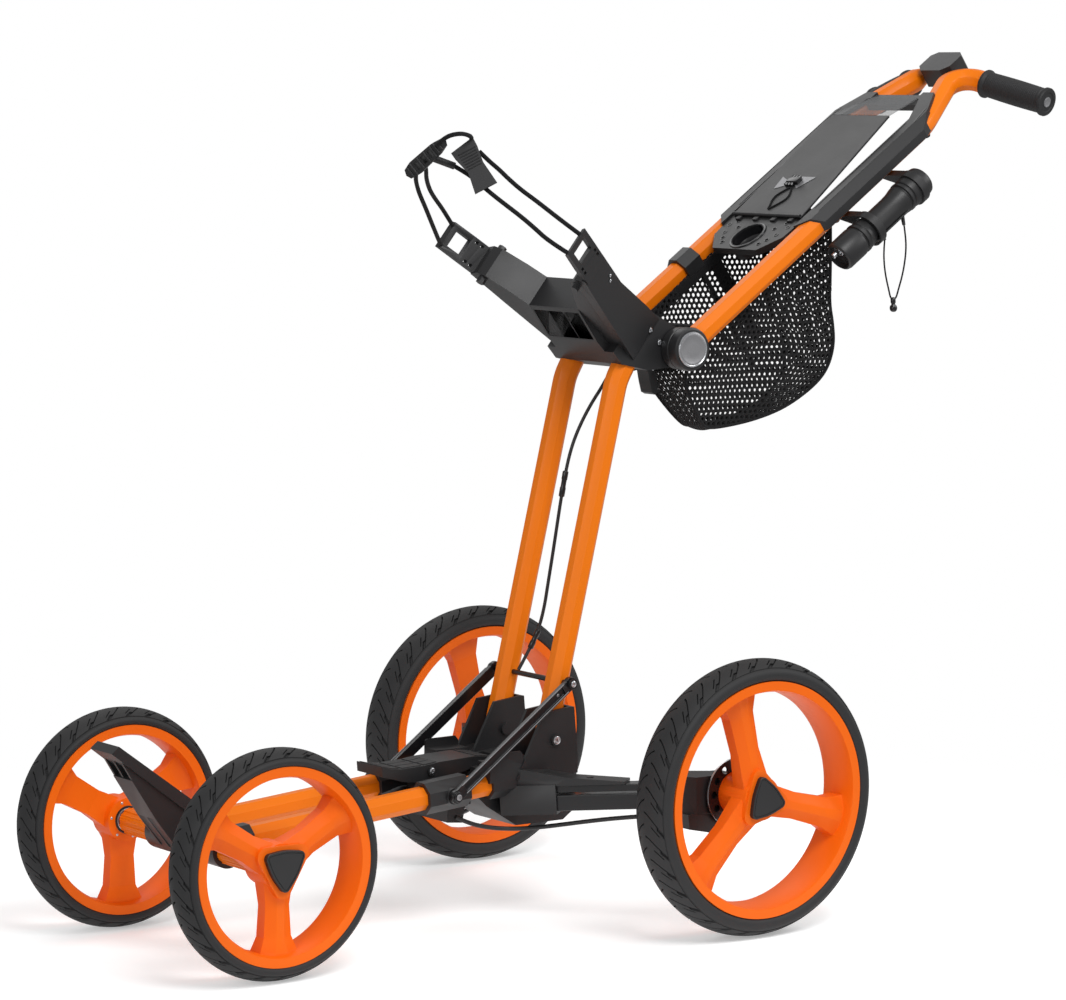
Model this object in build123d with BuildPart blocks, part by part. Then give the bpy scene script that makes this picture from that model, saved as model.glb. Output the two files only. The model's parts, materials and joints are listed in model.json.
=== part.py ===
"""Golf push trolley: four wheels, folding mast and folding upper frame.

Everything is drawn about the rear axle (x forward, y to the left, in mm), which
stands AXLE_Z over the drawing's ground line, and is moved when it is exported,
so that the origin of the part is the bottom centre of its bounding box.
"""
import math
import os

from build123d import *

# ---------------------------------------------------------------- driving sizes
REAR_AXLE_X = -69.8          # rear axle in the part's own frame
RUN = 0.05                   # radial clearance of every running fit
GAP = 0.3                    # clearance between parts that pass each other

TUBE_FLATS = 25.0            # octagonal frame tube across flats
TUBE_WALL = 2.0
RAIL_Y = 47.5                # front tubes and mast tubes from the middle plane
UPPER_Y = 75.0               # upper tubes from the middle plane

REAR_TYRE_R, REAR_SIDEWALL, REAR_TYRE_W, REAR_Y = 152.5, 22.5, 54.0, 261.8
FRONT_TYRE_R, FRONT_SIDEWALL, FRONT_TYRE_W = 121.5, 17.1, 48.0
REAR_RIM_R = REAR_TYRE_R - REAR_SIDEWALL
FRONT_RIM_R = FRONT_TYRE_R - FRONT_SIDEWALL
WHEELBASE = 553.0
AXLE_Z = 152.5               # rear axle over the drawing's ground line
FRONT_AXLE_Z = AXLE_Z + FRONT_TYRE_R - REAR_TYRE_R
RIM_RING = 12.0              # rim edge to the inside of its ring
RIM_SEAT = 7.5               # rim edge to the floor of the tyre seat
HUB_R = 24.0
BEARING_R, BEARING_W = 14.0, 8.0
AXLE_R = 6.0
HUB_OUT = 17.0               # hub end outward of the wheel's middle plane
REAR_HUB_IN, FRONT_HUB_IN = 32.8, 20.0
CAP_T = 5.0

DISC_R, DISC_T, DISC_HOLES, DISC_HOLE_R, DISC_PITCH_R = 38.0, 3.0, 12, 4.0, 30.0
LOCK_PIN_R = 3.0
LOCK_X, LOCK_Z = 15.0, 126.5  # lock pin from the rear axle, on the pitch circle
CARRIER_GAP, PIN_STICK = 3.0, 1.5
CARRIER_OUT = REAR_Y - REAR_HUB_IN - DISC_T - CARRIER_GAP
LOCK_PIN_OUT = CARRIER_OUT + PIN_STICK

TUBE_RISE, TUBE_CLAMP = 21.2, 2.8  # front tubes over the rear and the front axle
TUBE_Z0 = AXLE_Z + TUBE_RISE
TUBE_SLOPE = (TUBE_Z0 - FRONT_AXLE_Z - TUBE_CLAMP) / WHEELBASE
TUBE_BACK, TUBE_FRONT = 112.0, WHEELBASE - 16.0
BEAM_FLATS, BEAM_HALF, BEAM_GAP = 28.0, 133.0, 6.5
FRONT_Y = BEAM_HALF + FRONT_HUB_IN + BEAM_GAP

MAST_PIVOT = (125.6, 199.5)
MAST_FOOT = (128.7, 186.6)
MAST_BEND = (32.7, 595.0)
MAST_TOP = (6.7, 640.0)
CROSS = (110.8, 262.5)       # cross rod, which is the top pivot of the struts
STRUT_X = 264.0
STRUT_FOOT = (STRUT_X, TUBE_Z0 - STRUT_X * TUBE_SLOPE)
STRUT_IN, STRUT_OUT = RAIL_Y + 21.5, RAIL_Y + 27.5
CROSS_R = 3.0
SOCKET_HALF, SOCKET_WALL = 14.0, 4.0
PIVOT_R = 4.0
COLLAR_BACK, COLLAR_FRONT = 238.0, 293.0
COLLAR_FLATS = 35.0

LEG_START = (155.0, 66.0, 132.5)
LEG_YAW, LEG_PITCH = 130.0, 4.5
LEG_LENGTH = 172.0
LEG_W, LEG_H = 26.0, 17.5
BAR_W, BAR_H, BAR_GAP = 22.0, 8.0, 2.5
BAR_START, BAR_END = 8.0, 170.0

PEDAL_PIVOT = (265.0, 172.0)
PEDAL_HALF = 25.0
PEDAL_PIN_R = 2.5

HINGE = (-42.0, 630.0)
TRIGGER_PIVOT = (-45.0, 603.5)
BARREL_R, KNUCKLE_R = 20.0, 22.5
CAP_R = 19.0
BLOCK_HALF, KNUCKLE_OUT = UPPER_Y - 13.0, UPPER_Y + 13.0
SHAFT_R = 6.0
BAG_TILT = 38.7              # bag axis from the vertical, in degrees
ARM_BOTTOM, ARM_TOP = 478.0, 514.0

UPPER_TILT = 35.5            # upper frame from the horizontal, in degrees
UPPER_START, UPPER_BEND, UPPER_APEX = 23.0, 432.0, 552.0
GRIP_R = 15.5
RING_BACK, RING_FRONT, RING_FLATS = 134.0, 160.0, 34.0  # latch ring on the right upper tube

RAIL_IN, RAIL_OUT = UPPER_Y - 9.5, UPPER_Y + 16.8  # console rails round the upper tubes
RAIL_TOP, RAIL_CHAMFER_WALL = TUBE_FLATS / 2 + 2.0, 2.6
TRAY_TOP = 11.6
POCKET_U, POCKET_R, POCKET_DEPTH = 194.0, 20.0, 14.0
PANEL_T = 2.5
FLAP_T = 1.5

UMBRELLA_Y, UMBRELLA_W, UMBRELLA_R = UPPER_Y + 33.0, -33.0, 18.5
UMBRELLA_LOW, UMBRELLA_HIGH = 218.0, 371.0
BASKET_HALF, BASKET_WALL, BASKET_TOP = UPPER_Y - TUBE_FLATS / 2 - GAP, 3.0, -2.0

SIDES = {"left": 1, "right": -1}
NODES = {}


# ---------------------------------------------------------------- frames
def side_plane(y):
    """Plane whose sketch runs (x, z) and whose normal points to the right."""
    return Plane(origin=(0, y, 0), x_dir=(1, 0, 0), z_dir=(0, -1, 0))


def tilted(first, second, origin, angle):
    """Point of a tilted side frame: `first` along the tilt, `second` across it."""
    c, s = math.cos(math.radians(angle)), math.sin(math.radians(angle))
    return origin[0] + first * c - second * s, origin[1] + first * s + second * c


def bag_point(n, a):
    """(x, z) of a point given along and across the bag's axis."""
    lean = math.radians(BAG_TILT)
    return (n * math.cos(lean) - a * math.sin(lean), n * math.sin(lean) + a * math.cos(lean))


def bag_xyz(n, y, a):
    """Point in space given along and across the bag's axis."""
    x, z = bag_point(n, a)
    return (x, y, z)


BUNGEE_D = 5.0


def upper_point(u, w):
    """(x, z) of a point given along and above the upper frame."""
    lean = math.radians(UPPER_TILT)
    return (HINGE[0] - u * math.cos(lean) + w * math.sin(lean),
            HINGE[1] + u * math.sin(lean) + w * math.cos(lean))


def upper_xyz(u, y, w):
    """Point of the upper frame in space."""
    x, z = upper_point(u, w)
    return (x, y, z)


LEAN = math.radians(UPPER_TILT)
U_DIR = (-math.cos(LEAN), 0, math.sin(LEAN))
W_DIR = (math.sin(LEAN), 0, math.cos(LEAN))


def upper_plane(w):
    """Plane over the upper frame: sketch runs (u, -y), normal points off the frame."""
    return Plane(origin=upper_xyz(0, 0, w), x_dir=U_DIR, z_dir=W_DIR)


def tube_z(x):
    """Height of the front tubes' axis."""
    return TUBE_Z0 - TUBE_SLOPE * x


# ---------------------------------------------------------------- shapes
def slab(points, y0, y1):
    """Plate of an (x, z) outline between two y values."""
    with BuildPart() as plate:
        with BuildSketch(side_plane(max(y0, y1))):
            with BuildLine():
                Polyline(*points, close=True)
            make_face()
        extrude(amount=abs(y1 - y0))
    return plate.part


def upper_slab(points, y0, y1):
    """Plate of a (u, w) outline between two y values."""
    return slab([upper_point(u, w) for u, w in points], y0, y1)


def upper_plate(points, w0, w1):
    """Plate of a (u, y) outline between two heights over the upper frame."""
    with BuildPart() as plate:
        with BuildSketch(upper_plane(w0)):
            with BuildLine():
                Polyline(*[(u, -y) for u, y in points], close=True)
            make_face()
        extrude(amount=w1 - w0)
    return plate.part


def disc(centre, y0, y1, radius, bore=0.0):
    """Cylinder or ring along y about an (x, z) centre."""
    with BuildPart() as ring:
        with BuildSketch(side_plane(max(y0, y1))):
            with Locations(centre):
                Circle(radius)
                if bore:
                    Circle(bore, mode=Mode.SUBTRACT)
        extrude(amount=abs(y1 - y0))
    return ring.part


def rod(start, end, radius, bore=0.0):
    """Round bar or sleeve between two points."""
    with BuildPart() as bar:
        with BuildLine():
            spine = Line(start, end)
        with BuildSketch(Plane(origin=spine @ 0, z_dir=spine % 0)):
            Circle(radius)
            if bore:
                Circle(bore, mode=Mode.SUBTRACT)
        extrude(amount=spine.length)
    return bar.part


def octagon(start, end, flats, bore=0.0):
    """Octagonal bar with a flat on top, between two points off the y direction."""
    with BuildPart() as bar:
        with BuildLine():
            spine = Line(start, end)
        with BuildSketch(Plane(origin=spine @ 0, x_dir=(0, 1, 0), z_dir=spine % 0)):
            RegularPolygon(flats / 2, 8, major_radius=False, rotation=22.5)
            if bore:
                RegularPolygon(bore / 2, 8, major_radius=False, rotation=22.5, mode=Mode.SUBTRACT)
        extrude(amount=spine.length)
    return bar.part


def beam(y0, y1, centre, flats):
    """Octagonal bar along y about an (x, z) centre."""
    with BuildPart() as bar:
        with BuildSketch(side_plane(max(y0, y1))):
            with Locations(centre):
                RegularPolygon(flats / 2, 8, major_radius=False, rotation=22.5)
        extrude(amount=abs(y1 - y0))
    return bar.part


def swept_tube(points, radii, flats, wall=0.0):
    """Octagonal tube along a filleted route that starts off the y direction."""
    with BuildPart() as tube:
        with BuildLine() as route:
            FilletPolyline(*points, radius=radii)
        path = route.wires()[0]
        with BuildSketch(Plane(origin=path @ 0, x_dir=(0, 1, 0), z_dir=path % 0)):
            RegularPolygon(flats / 2, 8, major_radius=False, rotation=22.5)
            if wall:
                RegularPolygon(flats / 2 - wall, 8, major_radius=False, rotation=22.5, mode=Mode.SUBTRACT)
        sweep(path=path)
    return tube.part


def cord(points, diameter):
    """Round cord along a route, its bends as wide as its runs allow."""
    radii = []
    for before, here, after in zip(points, points[1:], points[2:]):
        back = Vector(*before) - Vector(*here)
        ahead = Vector(*after) - Vector(*here)
        half_turn = math.radians(180 - back.get_angle(ahead)) / 2
        radii.append(0.45 * min(back.length, ahead.length) / math.tan(half_turn))
    with BuildPart() as strand:
        with BuildLine() as route:
            FilletPolyline(*points, radius=radii)
        path = route.wires()[0]
        with BuildSketch(Plane(origin=path @ 0, z_dir=path % 0)):
            Circle(diameter / 2)
        sweep(path=path)
    print(f"  cord of {len(points)} points, smallest radius {min(radii):.1f}, length {path.length:.0f}")
    return strand.part


def union(first, *others):
    """One solid out of several that touch."""
    with BuildPart() as body:
        add(first)
        for other in others:
            add(other)
    return body.part


def cut(body, *tools):
    """A body less its tools."""
    with BuildPart() as left:
        add(body)
        for tool in tools:
            add(tool, mode=Mode.SUBTRACT)
    return left.part


def group(*shapes):
    """Separate solids kept together as one node."""
    return Compound([solid for shape in shapes for solid in shape.solids()])


def both(shape):
    """A shape and its mirror image across the middle plane, as separate solids."""
    return group(shape, shape.mirror(Plane.XZ))


def mirrored(shape, sign):
    """The left shape, or its mirror image for the right side."""
    return shape if sign > 0 else group(shape.mirror(Plane.XZ))


# ---------------------------------------------------------------- wheels
def tyre(tyre_r, rim_r, width):
    """Solid foam tyre about y: rounded sidewalls, low crown, foot in the rim's seat."""
    seat, edge = rim_r - RIM_SEAT, width / 2 - 5
    shoulder_r, shoulder_y = tyre_r - 7, width / 2 - 4.5
    wall_r = (rim_r + shoulder_r) / 2
    with BuildPart() as ring:
        with BuildSketch(Plane.XY):
            with BuildLine():
                ThreePointArc((rim_r, edge), (wall_r, width / 2), (shoulder_r, shoulder_y))
                ThreePointArc((shoulder_r, shoulder_y), (tyre_r, 0), (shoulder_r, -shoulder_y))
                ThreePointArc((shoulder_r, -shoulder_y), (wall_r, -width / 2), (rim_r, -edge))
                Polyline((rim_r, -edge), (seat, 3 - edge), (seat, edge - 3), (rim_r, edge))
            make_face()
        revolve(axis=Axis.Y)
    return ring.part


def spoke(rim_r, angle):
    """Wide faceted spoke with a raised middle, flaring into the ring."""
    depth_at_ring = 28.0
    flare = 48.0
    reach = math.sqrt((rim_r - RIM_SEAT - GAP) ** 2 - (flare / 2) ** 2)
    ca, sa = math.cos(math.radians(angle)), math.sin(math.radians(angle))
    sections = ((12.0, 36.0, 26.0), (0.45 * reach, 29.0, 21.0), (0.8 * reach, 33.0, 22.0), (reach, flare, depth_at_ring))
    with BuildPart() as arm:
        for radius, width, depth in sections:
            half, low, high = width / 2, depth / 2 - 2, -depth / 2
            with BuildSketch(Plane(origin=(radius * ca, 0, radius * sa), x_dir=(-sa, 0, ca), z_dir=(ca, 0, sa))):
                Polygon((-half, low), (half, low), (half, high + 5), (0.28 * half, high - 1),
                        (-0.28 * half, high - 1), (-half, high + 5), align=None)
        loft(ruled=True)
    return arm.part


def rounded_triangle(circumradius, corner, y0, y1, angle):
    """Three-cornered plate about y with rounded corners, one of them at the angle."""
    with BuildPart() as plate:
        with BuildSketch(side_plane(max(y0, y1))) as outline:
            RegularPolygon(circumradius, 3, rotation=angle)
            fillet(outline.vertices(), corner)
        extrude(amount=abs(y1 - y0))
    return plate.part


def rim(rim_r, width, hub_in, angle):
    """One-piece rim: ring with a tyre seat, three spokes, hub with bearing seats."""
    half = width / 2 - 2
    seat, inside = rim_r - RIM_SEAT, rim_r - RIM_RING
    edge = width / 2 - 5
    with BuildPart() as wheel:
        with BuildSketch(Plane.XY):
            with BuildLine():
                Polyline((inside + 2, half), (rim_r, half), (rim_r, edge), (seat, edge - 3),
                         (seat, 3 - edge), (rim_r, -edge), (rim_r, -half), (inside + 2, -half),
                         (inside, 6 - half), (inside, half - 6), close=True)
            make_face()
        revolve(axis=Axis.Y)
        for index in range(3):
            add(spoke(rim_r, angle + 120 * index))
        add(disc((0, 0), -hub_in, HUB_OUT - 3, HUB_R))
        add(rounded_triangle(44, 10, 2, HUB_OUT, angle))
        add(disc((0, 0), -hub_in - 1, HUB_OUT + 1, 8.0), mode=Mode.SUBTRACT)
        add(disc((0, 0), HUB_OUT - 3 - BEARING_W, HUB_OUT + 1, BEARING_R), mode=Mode.SUBTRACT)
        add(disc((0, 0), -hub_in - 1, BEARING_W - hub_in, BEARING_R), mode=Mode.SUBTRACT)
    return wheel.part


def bearings(hub_in):
    """The two ball bearings of a hub."""
    outer = disc((0, 0), HUB_OUT - 3 - BEARING_W, HUB_OUT - 3, BEARING_R, AXLE_R + RUN)
    inner = disc((0, 0), -hub_in, BEARING_W - hub_in, BEARING_R, AXLE_R + RUN)
    return group(outer, inner)


def brake_disc():
    """Perforated disc on the inner end of a rear hub, in the wheel's own frame."""
    inner = -REAR_HUB_IN - DISC_T
    with BuildPart() as plate:
        with BuildSketch(side_plane(-REAR_HUB_IN)):
            Circle(DISC_R)
            Circle(BEARING_R, mode=Mode.SUBTRACT)
            with PolarLocations(DISC_PITCH_R, DISC_HOLES):
                Circle(DISC_HOLE_R, mode=Mode.SUBTRACT)
        extrude(amount=-REAR_HUB_IN - inner)
    return plate.part


def axle_bolt(x, z, wheel_y, hub_in, root_y):
    """Shouldered wheel bolt with its nut, on the left side."""
    return union(
        disc((x, z), root_y - 20, wheel_y + HUB_OUT - 1, AXLE_R),
        disc((x, z), root_y, wheel_y - hub_in - 0.1, 8.5),
        disc((x, z), wheel_y + HUB_OUT - 2.9, wheel_y + HUB_OUT - 0.6, 9.5),
    )


def make_wheels():
    """All four wheels."""
    rear_angle, front_angle = 75.0, 30.0
    kinds = {
        "rear": (0.0, AXLE_Z, REAR_TYRE_R, REAR_RIM_R, REAR_TYRE_W, REAR_Y, REAR_HUB_IN, rear_angle),
        "front": (WHEELBASE, FRONT_AXLE_Z, FRONT_TYRE_R, FRONT_RIM_R, FRONT_TYRE_W, FRONT_Y, FRONT_HUB_IN,
                  front_angle),
    }
    for end, (x, axle_z, tyre_r, rim_r, width, wheel_y, hub_in, angle) in kinds.items():
        pieces = {
            "rim": rim(rim_r, width, hub_in, angle),
            "tyre": tyre(tyre_r, rim_r, width),
            "hub_cap": rounded_triangle(31, 5, HUB_OUT, HUB_OUT + CAP_T, angle),
            "bearings": bearings(hub_in),
        }
        for side, sign in SIDES.items():
            place = Location((x, sign * wheel_y, axle_z))
            for name, shape in pieces.items():
                NODES[f"{name}_{end}_{side}"] = mirrored(shape, sign).moved(place)
            if end == "rear":
                NODES[f"brake_disc_{side}"] = mirrored(brake_disc(), sign).moved(place)
    rear = axle_bolt(0, AXLE_Z, REAR_Y, REAR_HUB_IN, CARRIER_OUT)
    front = axle_bolt(WHEELBASE, FRONT_AXLE_Z, FRONT_Y, FRONT_HUB_IN, BEAM_HALF)
    NODES["axle_bolts"] = group(rear, rear.mirror(Plane.XZ), front, front.mirror(Plane.XZ))


# ---------------------------------------------------------------- rear legs
def leg_plane():
    """Side plane of the left leg: sketch runs (along, up), through the leg's middle."""
    yaw, pitch = math.radians(LEG_YAW), math.radians(LEG_PITCH)
    along = (math.cos(yaw) * math.cos(pitch), math.sin(yaw) * math.cos(pitch), math.sin(pitch))
    return Plane(origin=LEG_START, x_dir=along, z_dir=(math.sin(yaw), -math.cos(yaw), 0))


def leg_piece(points, width):
    """Plate of an (along, up) outline, centred across the left leg."""
    with BuildPart() as piece:
        with BuildSketch(leg_plane()):
            with BuildLine():
                Polyline(*points, close=True)
            make_face()
        extrude(amount=width / 2, both=True)
    return piece.part


def leg_box(start, end, low, high, width):
    """Box in the left leg's frame."""
    return leg_piece([(start, low), (end, low), (end, high), (start, high)], width)


BAR_LOW = LEG_H / 2 + BAR_GAP
BAR_HIGH = BAR_LOW + BAR_H


def make_legs():
    """Rear legs, the flat bars over them and the hub carriers."""
    for side, sign in SIDES.items():
        NODES[f"hub_carrier_{side}"] = mirrored(hub_carrier(), sign)
    NODES["rear_legs"] = both(cut(leg_box(0, LEG_LENGTH, -LEG_H / 2, LEG_H / 2, LEG_W),
                                  leg_box(-1, LEG_LENGTH + 1, 2 - LEG_H / 2, LEG_H / 2 - 2, LEG_W - 4)))
    NODES["leg_bars"] = both(leg_box(BAR_START, BAR_END, BAR_LOW, BAR_HIGH, BAR_W))


def hub_carrier():
    """Left hub carrier: deep box at the end of the leg, lock bracket under it."""
    plan = [(40.8, 175.8), (66.8, 197.6), (50, CARRIER_OUT), (-24, CARRIER_OUT), (-24, 200), (10, 196)]
    half = 20.5
    with BuildPart() as box:
        with BuildSketch(Plane.XY.offset(AXLE_Z - half)):
            with BuildLine():
                Polyline(*plan, close=True)
            make_face()
        extrude(amount=2 * half)
    nose = union(disc((0, AXLE_Z), 170, CARRIER_OUT + 7, half),
                 slab([(0, AXLE_Z - half), (80, AXLE_Z - half), (80, AXLE_Z + half), (0, AXLE_Z + half)],
                      170, CARRIER_OUT + 7))
    with BuildPart() as rounded:
        add(box.part)
        add(nose, mode=Mode.INTERSECT)
    bracket = slab([(60, 132.5), (58, 116), (30, 110), (5, 118), (2, 134)], CARRIER_OUT - 27, CARRIER_OUT - 1)
    return cut(union(rounded.part, bracket),
               leg_box(100, LEG_LENGTH, -LEG_H / 2, LEG_H / 2, LEG_W), leg_box(100, BAR_END, BAR_LOW, BAR_HIGH, BAR_W),
               disc((LOCK_X, LOCK_Z), CARRIER_OUT - 23, CARRIER_OUT - 0.5, LOCK_PIN_R + RUN),
               disc((0, AXLE_Z), CARRIER_OUT - 20, CARRIER_OUT + 1, AXLE_R))


# ---------------------------------------------------------------- lower frame
def front_tube(sign, flats=TUBE_FLATS, back=TUBE_BACK, front=TUBE_FRONT, bore=0.0):
    """Length of octagon on the axis of a front tube."""
    y = sign * RAIL_Y
    return octagon((back, y, tube_z(back)), (front, y, tube_z(front)), flats, bore)


def ahead(dx, dz):
    """(x, z) of a point given from the front axle."""
    return WHEELBASE + dx, FRONT_AXLE_Z + dz


def make_front_frame():
    """Front tubes, axle beam and the bag base with its clamps."""
    for side, sign in SIDES.items():
        NODES[f"front_tube_{side}"] = front_tube(sign, bore=TUBE_FLATS - 2 * TUBE_WALL)
    axle = ahead(0, 0)
    bores = [disc(axle, sign * (BEAM_HALF - 20), sign * (BEAM_HALF + 1), AXLE_R) for sign in SIDES.values()]
    NODES["front_axle_beam"] = cut(beam(-BEAM_HALF, BEAM_HALF, axle, BEAM_FLATS), *bores)
    NODES["bag_base"] = bag_base()


def bag_base():
    """Ribbed wedge that the bag stands on, with a clamp for each front tube."""
    plate = slab([ahead(*p) for p in ((7, 41.7), (104, 112.5), (113, 105.5), (16, 31.5))], -22.5, 22.5)
    web = [ahead(*p) for p in ((-8, -1.5), (-1, 36.5), (11, 36.5), (107, 107.5), (58, 30.5), (32, -3.5),
                               (7, -17.5))]
    shell = [ahead(*p) for p in ((24, -11.5), (58, 30.5), (87, 74.5), (83, 77.5), (54, 34.5), (20, -8.5))]
    pieces = [plate, slab(shell, -19.5, 19.5)] + [slab(web, y - 2, y + 2) for y in (-17.5, 0, 17.5)]
    pieces.append(disc(ahead(0, 0), -RAIL_Y - 22.5, RAIL_Y + 22.5, 19.5))
    for sign in SIDES.values():
        pieces.append(front_tube(sign, TUBE_FLATS + 6, WHEELBASE - 37, WHEELBASE))
    cutters = [beam(-80, 80, ahead(0, 0), BEAM_FLATS)]
    cutters += [front_tube(sign, back=WHEELBASE - 53) for sign in SIDES.values()]
    return cut(union(*pieces), *cutters)


def socket(sign):
    """U-shaped seat of a mast tube, open to the front."""
    outline = [(178, 160), (141, 231), (106, 235), (94, 177), (94, 160)]
    near, far = sign * (RAIL_Y - SOCKET_HALF), sign * (RAIL_Y + SOCKET_HALF)
    near_wall, far_wall = near - sign * SOCKET_WALL, far + sign * SOCKET_WALL
    back = slab([(94, 177), (98.5, 177), (103.7, 234.6), (99.8, 234.8)], near_wall, far_wall)
    floor = slab([(94, 160), (178, 160), (170, 176), (150, 180), (94, 180)], near_wall, far_wall)
    lean = slab([(94, 177), (106, 235), (99.8, 234.8)], near_wall, far_wall)
    room = slab([(98.5, 170), (130, 170), (130, 240), (103.7, 240), (103.7, 234.6)], near, far)
    return [slab(outline, far, far_wall), slab(outline, near, near_wall), cut(union(back, lean), room), floor]


def leg_cutters(sign):
    """What a rear leg, its bar and its screws take out of the parts round them."""
    shapes = [leg_box(0, 120, -LEG_H / 2, LEG_H / 2, LEG_W), leg_box(BAR_START, 120, BAR_LOW, BAR_HIGH, BAR_W),
              wing_screw(18), wing_screw(66)]
    return [mirrored(shape, sign) for shape in shapes]


def leg_wing(sign, housing):
    """Sleeve and wing moulding over a rear leg, fitted against the housing."""
    wing = [(-20, BAR_HIGH), (108, BAR_HIGH), (108, BAR_HIGH + 3), (44, BAR_HIGH + 9), (-20, BAR_HIGH + 22)]
    body = union(leg_box(-34, 30, -11.5, BAR_HIGH + 2, LEG_W + 7), leg_piece(wing, BAR_W + 6))
    fitted = cut(mirrored(body, sign), housing, *leg_cutters(sign))
    return max(fitted.solids(), key=lambda solid: solid.volume)


def make_chassis():
    """Moulded housing with its sleeves, sockets and pedal tongue, and the wings over the legs."""
    core = slab([(82, 112), (95, 103), (160, 103), (200, 128), (213, 140), (213, 172),
                 (150, 178), (100, 182), (80, 170)], -40, 40)
    tongue = slab([(205, 128), (292, 128), (304, 136), (304, 144), (280, 150), (205, 156)], -16, 16)
    lug = union(disc(PEDAL_PIVOT, -8, 8, 4.5),
                slab([(256, 148), (276, 148), (269.4, 171), (260.6, 171)], -8, 8))
    cable_clip = slab([(229, 112), (249, 114), (249, 130), (225, 130)], -34, 34)
    pieces = [core, tongue, lug, cable_clip]
    for sign in SIDES.values():
        pieces.append(front_tube(sign, TUBE_FLATS + 8, 100, 208))
        pieces += socket(sign)
        pieces.append(slab([(168, 166), (213, 158), (213, 189), (210, 190.5), (172, 191), (168, 186)],
                           sign * 40, sign * 64))
    cutters = [disc(PEDAL_PIVOT, -9, 9, PEDAL_PIN_R),
               slab([(160, 168.5), (216, 166.5), (216, 200), (160, 200)], -PEDAL_HALF - 1, PEDAL_HALF + 1)]
    for sign in SIDES.values():
        cutters.append(front_tube(sign, front=220))
        cutters += leg_cutters(sign)
        cutters.append(slab([(100.8, 180.8), (260, 180.8), (260, 260), (112, 260)],
                            sign * (RAIL_Y - SOCKET_HALF), sign * (RAIL_Y + SOCKET_HALF)))
        cutters.append(disc(MAST_PIVOT, sign * (RAIL_Y - 19.5), sign * (RAIL_Y + 18.5), PIVOT_R))
    housing = union(*pieces)
    NODES["chassis_body"] = cut(housing, *cutters)
    NODES["leg_wings"] = group(*[leg_wing(sign, housing) for sign in SIDES.values()])


def wing_screw(along):
    """Screw down through a left wing, sunk in it."""
    plane = leg_plane()
    top = plane.from_local_coords(Vector(along, BAR_HIGH + (15.0 if along < 40 else 7.6), 0))
    seat = plane.from_local_coords(Vector(along, BAR_HIGH + 0.2, 0))
    return rod(tuple(seat), tuple(top), 4.0)


def make_fasteners():
    """Fixed fasteners of the lower frame."""
    side = SOCKET_HALF + SOCKET_WALL
    bolt = union(disc(MAST_PIVOT, RAIL_Y - side - 2, RAIL_Y + side + 3, PIVOT_R),
                 disc(MAST_PIVOT, RAIL_Y + side, RAIL_Y + side + 3, 6.5),
                 disc(MAST_PIVOT, RAIL_Y - side - 3, RAIL_Y - side, 6.5))
    screws = [mirrored(wing_screw(along), sign) for along in (18, 66) for sign in SIDES.values()]
    head = PEDAL_HALF + 0.2
    pedal_pin = union(disc(PEDAL_PIVOT, -head, head, PEDAL_PIN_R),
                      disc(PEDAL_PIVOT, head, head + 2.5, 5.0), disc(PEDAL_PIVOT, -head - 2.5, -head, 5.0))
    NODES["frame_bolts"] = group(bolt, bolt.mirror(Plane.XZ), pedal_pin, *screws)


def brake_pedal():
    """Rocking pedal: two foot pads over a channel with the pivot between them."""
    outline = [(168, 176.5), (180, 180), (206, 183), (253, 181), (275, 178.5), (305, 177.5), (318, 179),
               (330, 182), (329, 171), (301, 163), (268, 158.5), (242, 162), (205, 171), (170, 172)]
    hollow = [(176, 160), (176, 176), (206, 180), (253, 178), (275, 176.5), (301, 174.5), (318, 175), (318, 150)]
    shell = cut(slab(outline, -PEDAL_HALF, PEDAL_HALF), slab(hollow, 3 - PEDAL_HALF, PEDAL_HALF - 3))
    return cut(shell, disc(PEDAL_PIVOT, -PEDAL_HALF - 1, PEDAL_HALF + 1, PEDAL_PIN_R + RUN))


def make_brake():
    """Pedal, lock pins and the cables between them."""
    NODES["brake_pedal"] = brake_pedal()
    for side, sign in SIDES.items():
        NODES[f"lock_pin_{side}"] = disc((LOCK_X, LOCK_Z), sign * (CARRIER_OUT - 20), sign * LOCK_PIN_OUT, LOCK_PIN_R)
    route = [(238, 34, 119), (222, 38, 111), (202, 44, 105.5), (178, 52, 102.5), (152, 64, 103), (128, 80, 106.5),
             (110, 101, 111.5), (92, 124, 116.5), (73, 147, 120.5), (52, 168, 123.5), (32, 184, 125.5), (15, 196, 126.5)]
    cables = both(cord(route, 5.0))
    NODES["brake_cables"] = cables
    for name in ("chassis_body", "leg_wings", "hub_carrier_left", "hub_carrier_right"):
        NODES[name] = cut(NODES[name], cables)


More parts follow.
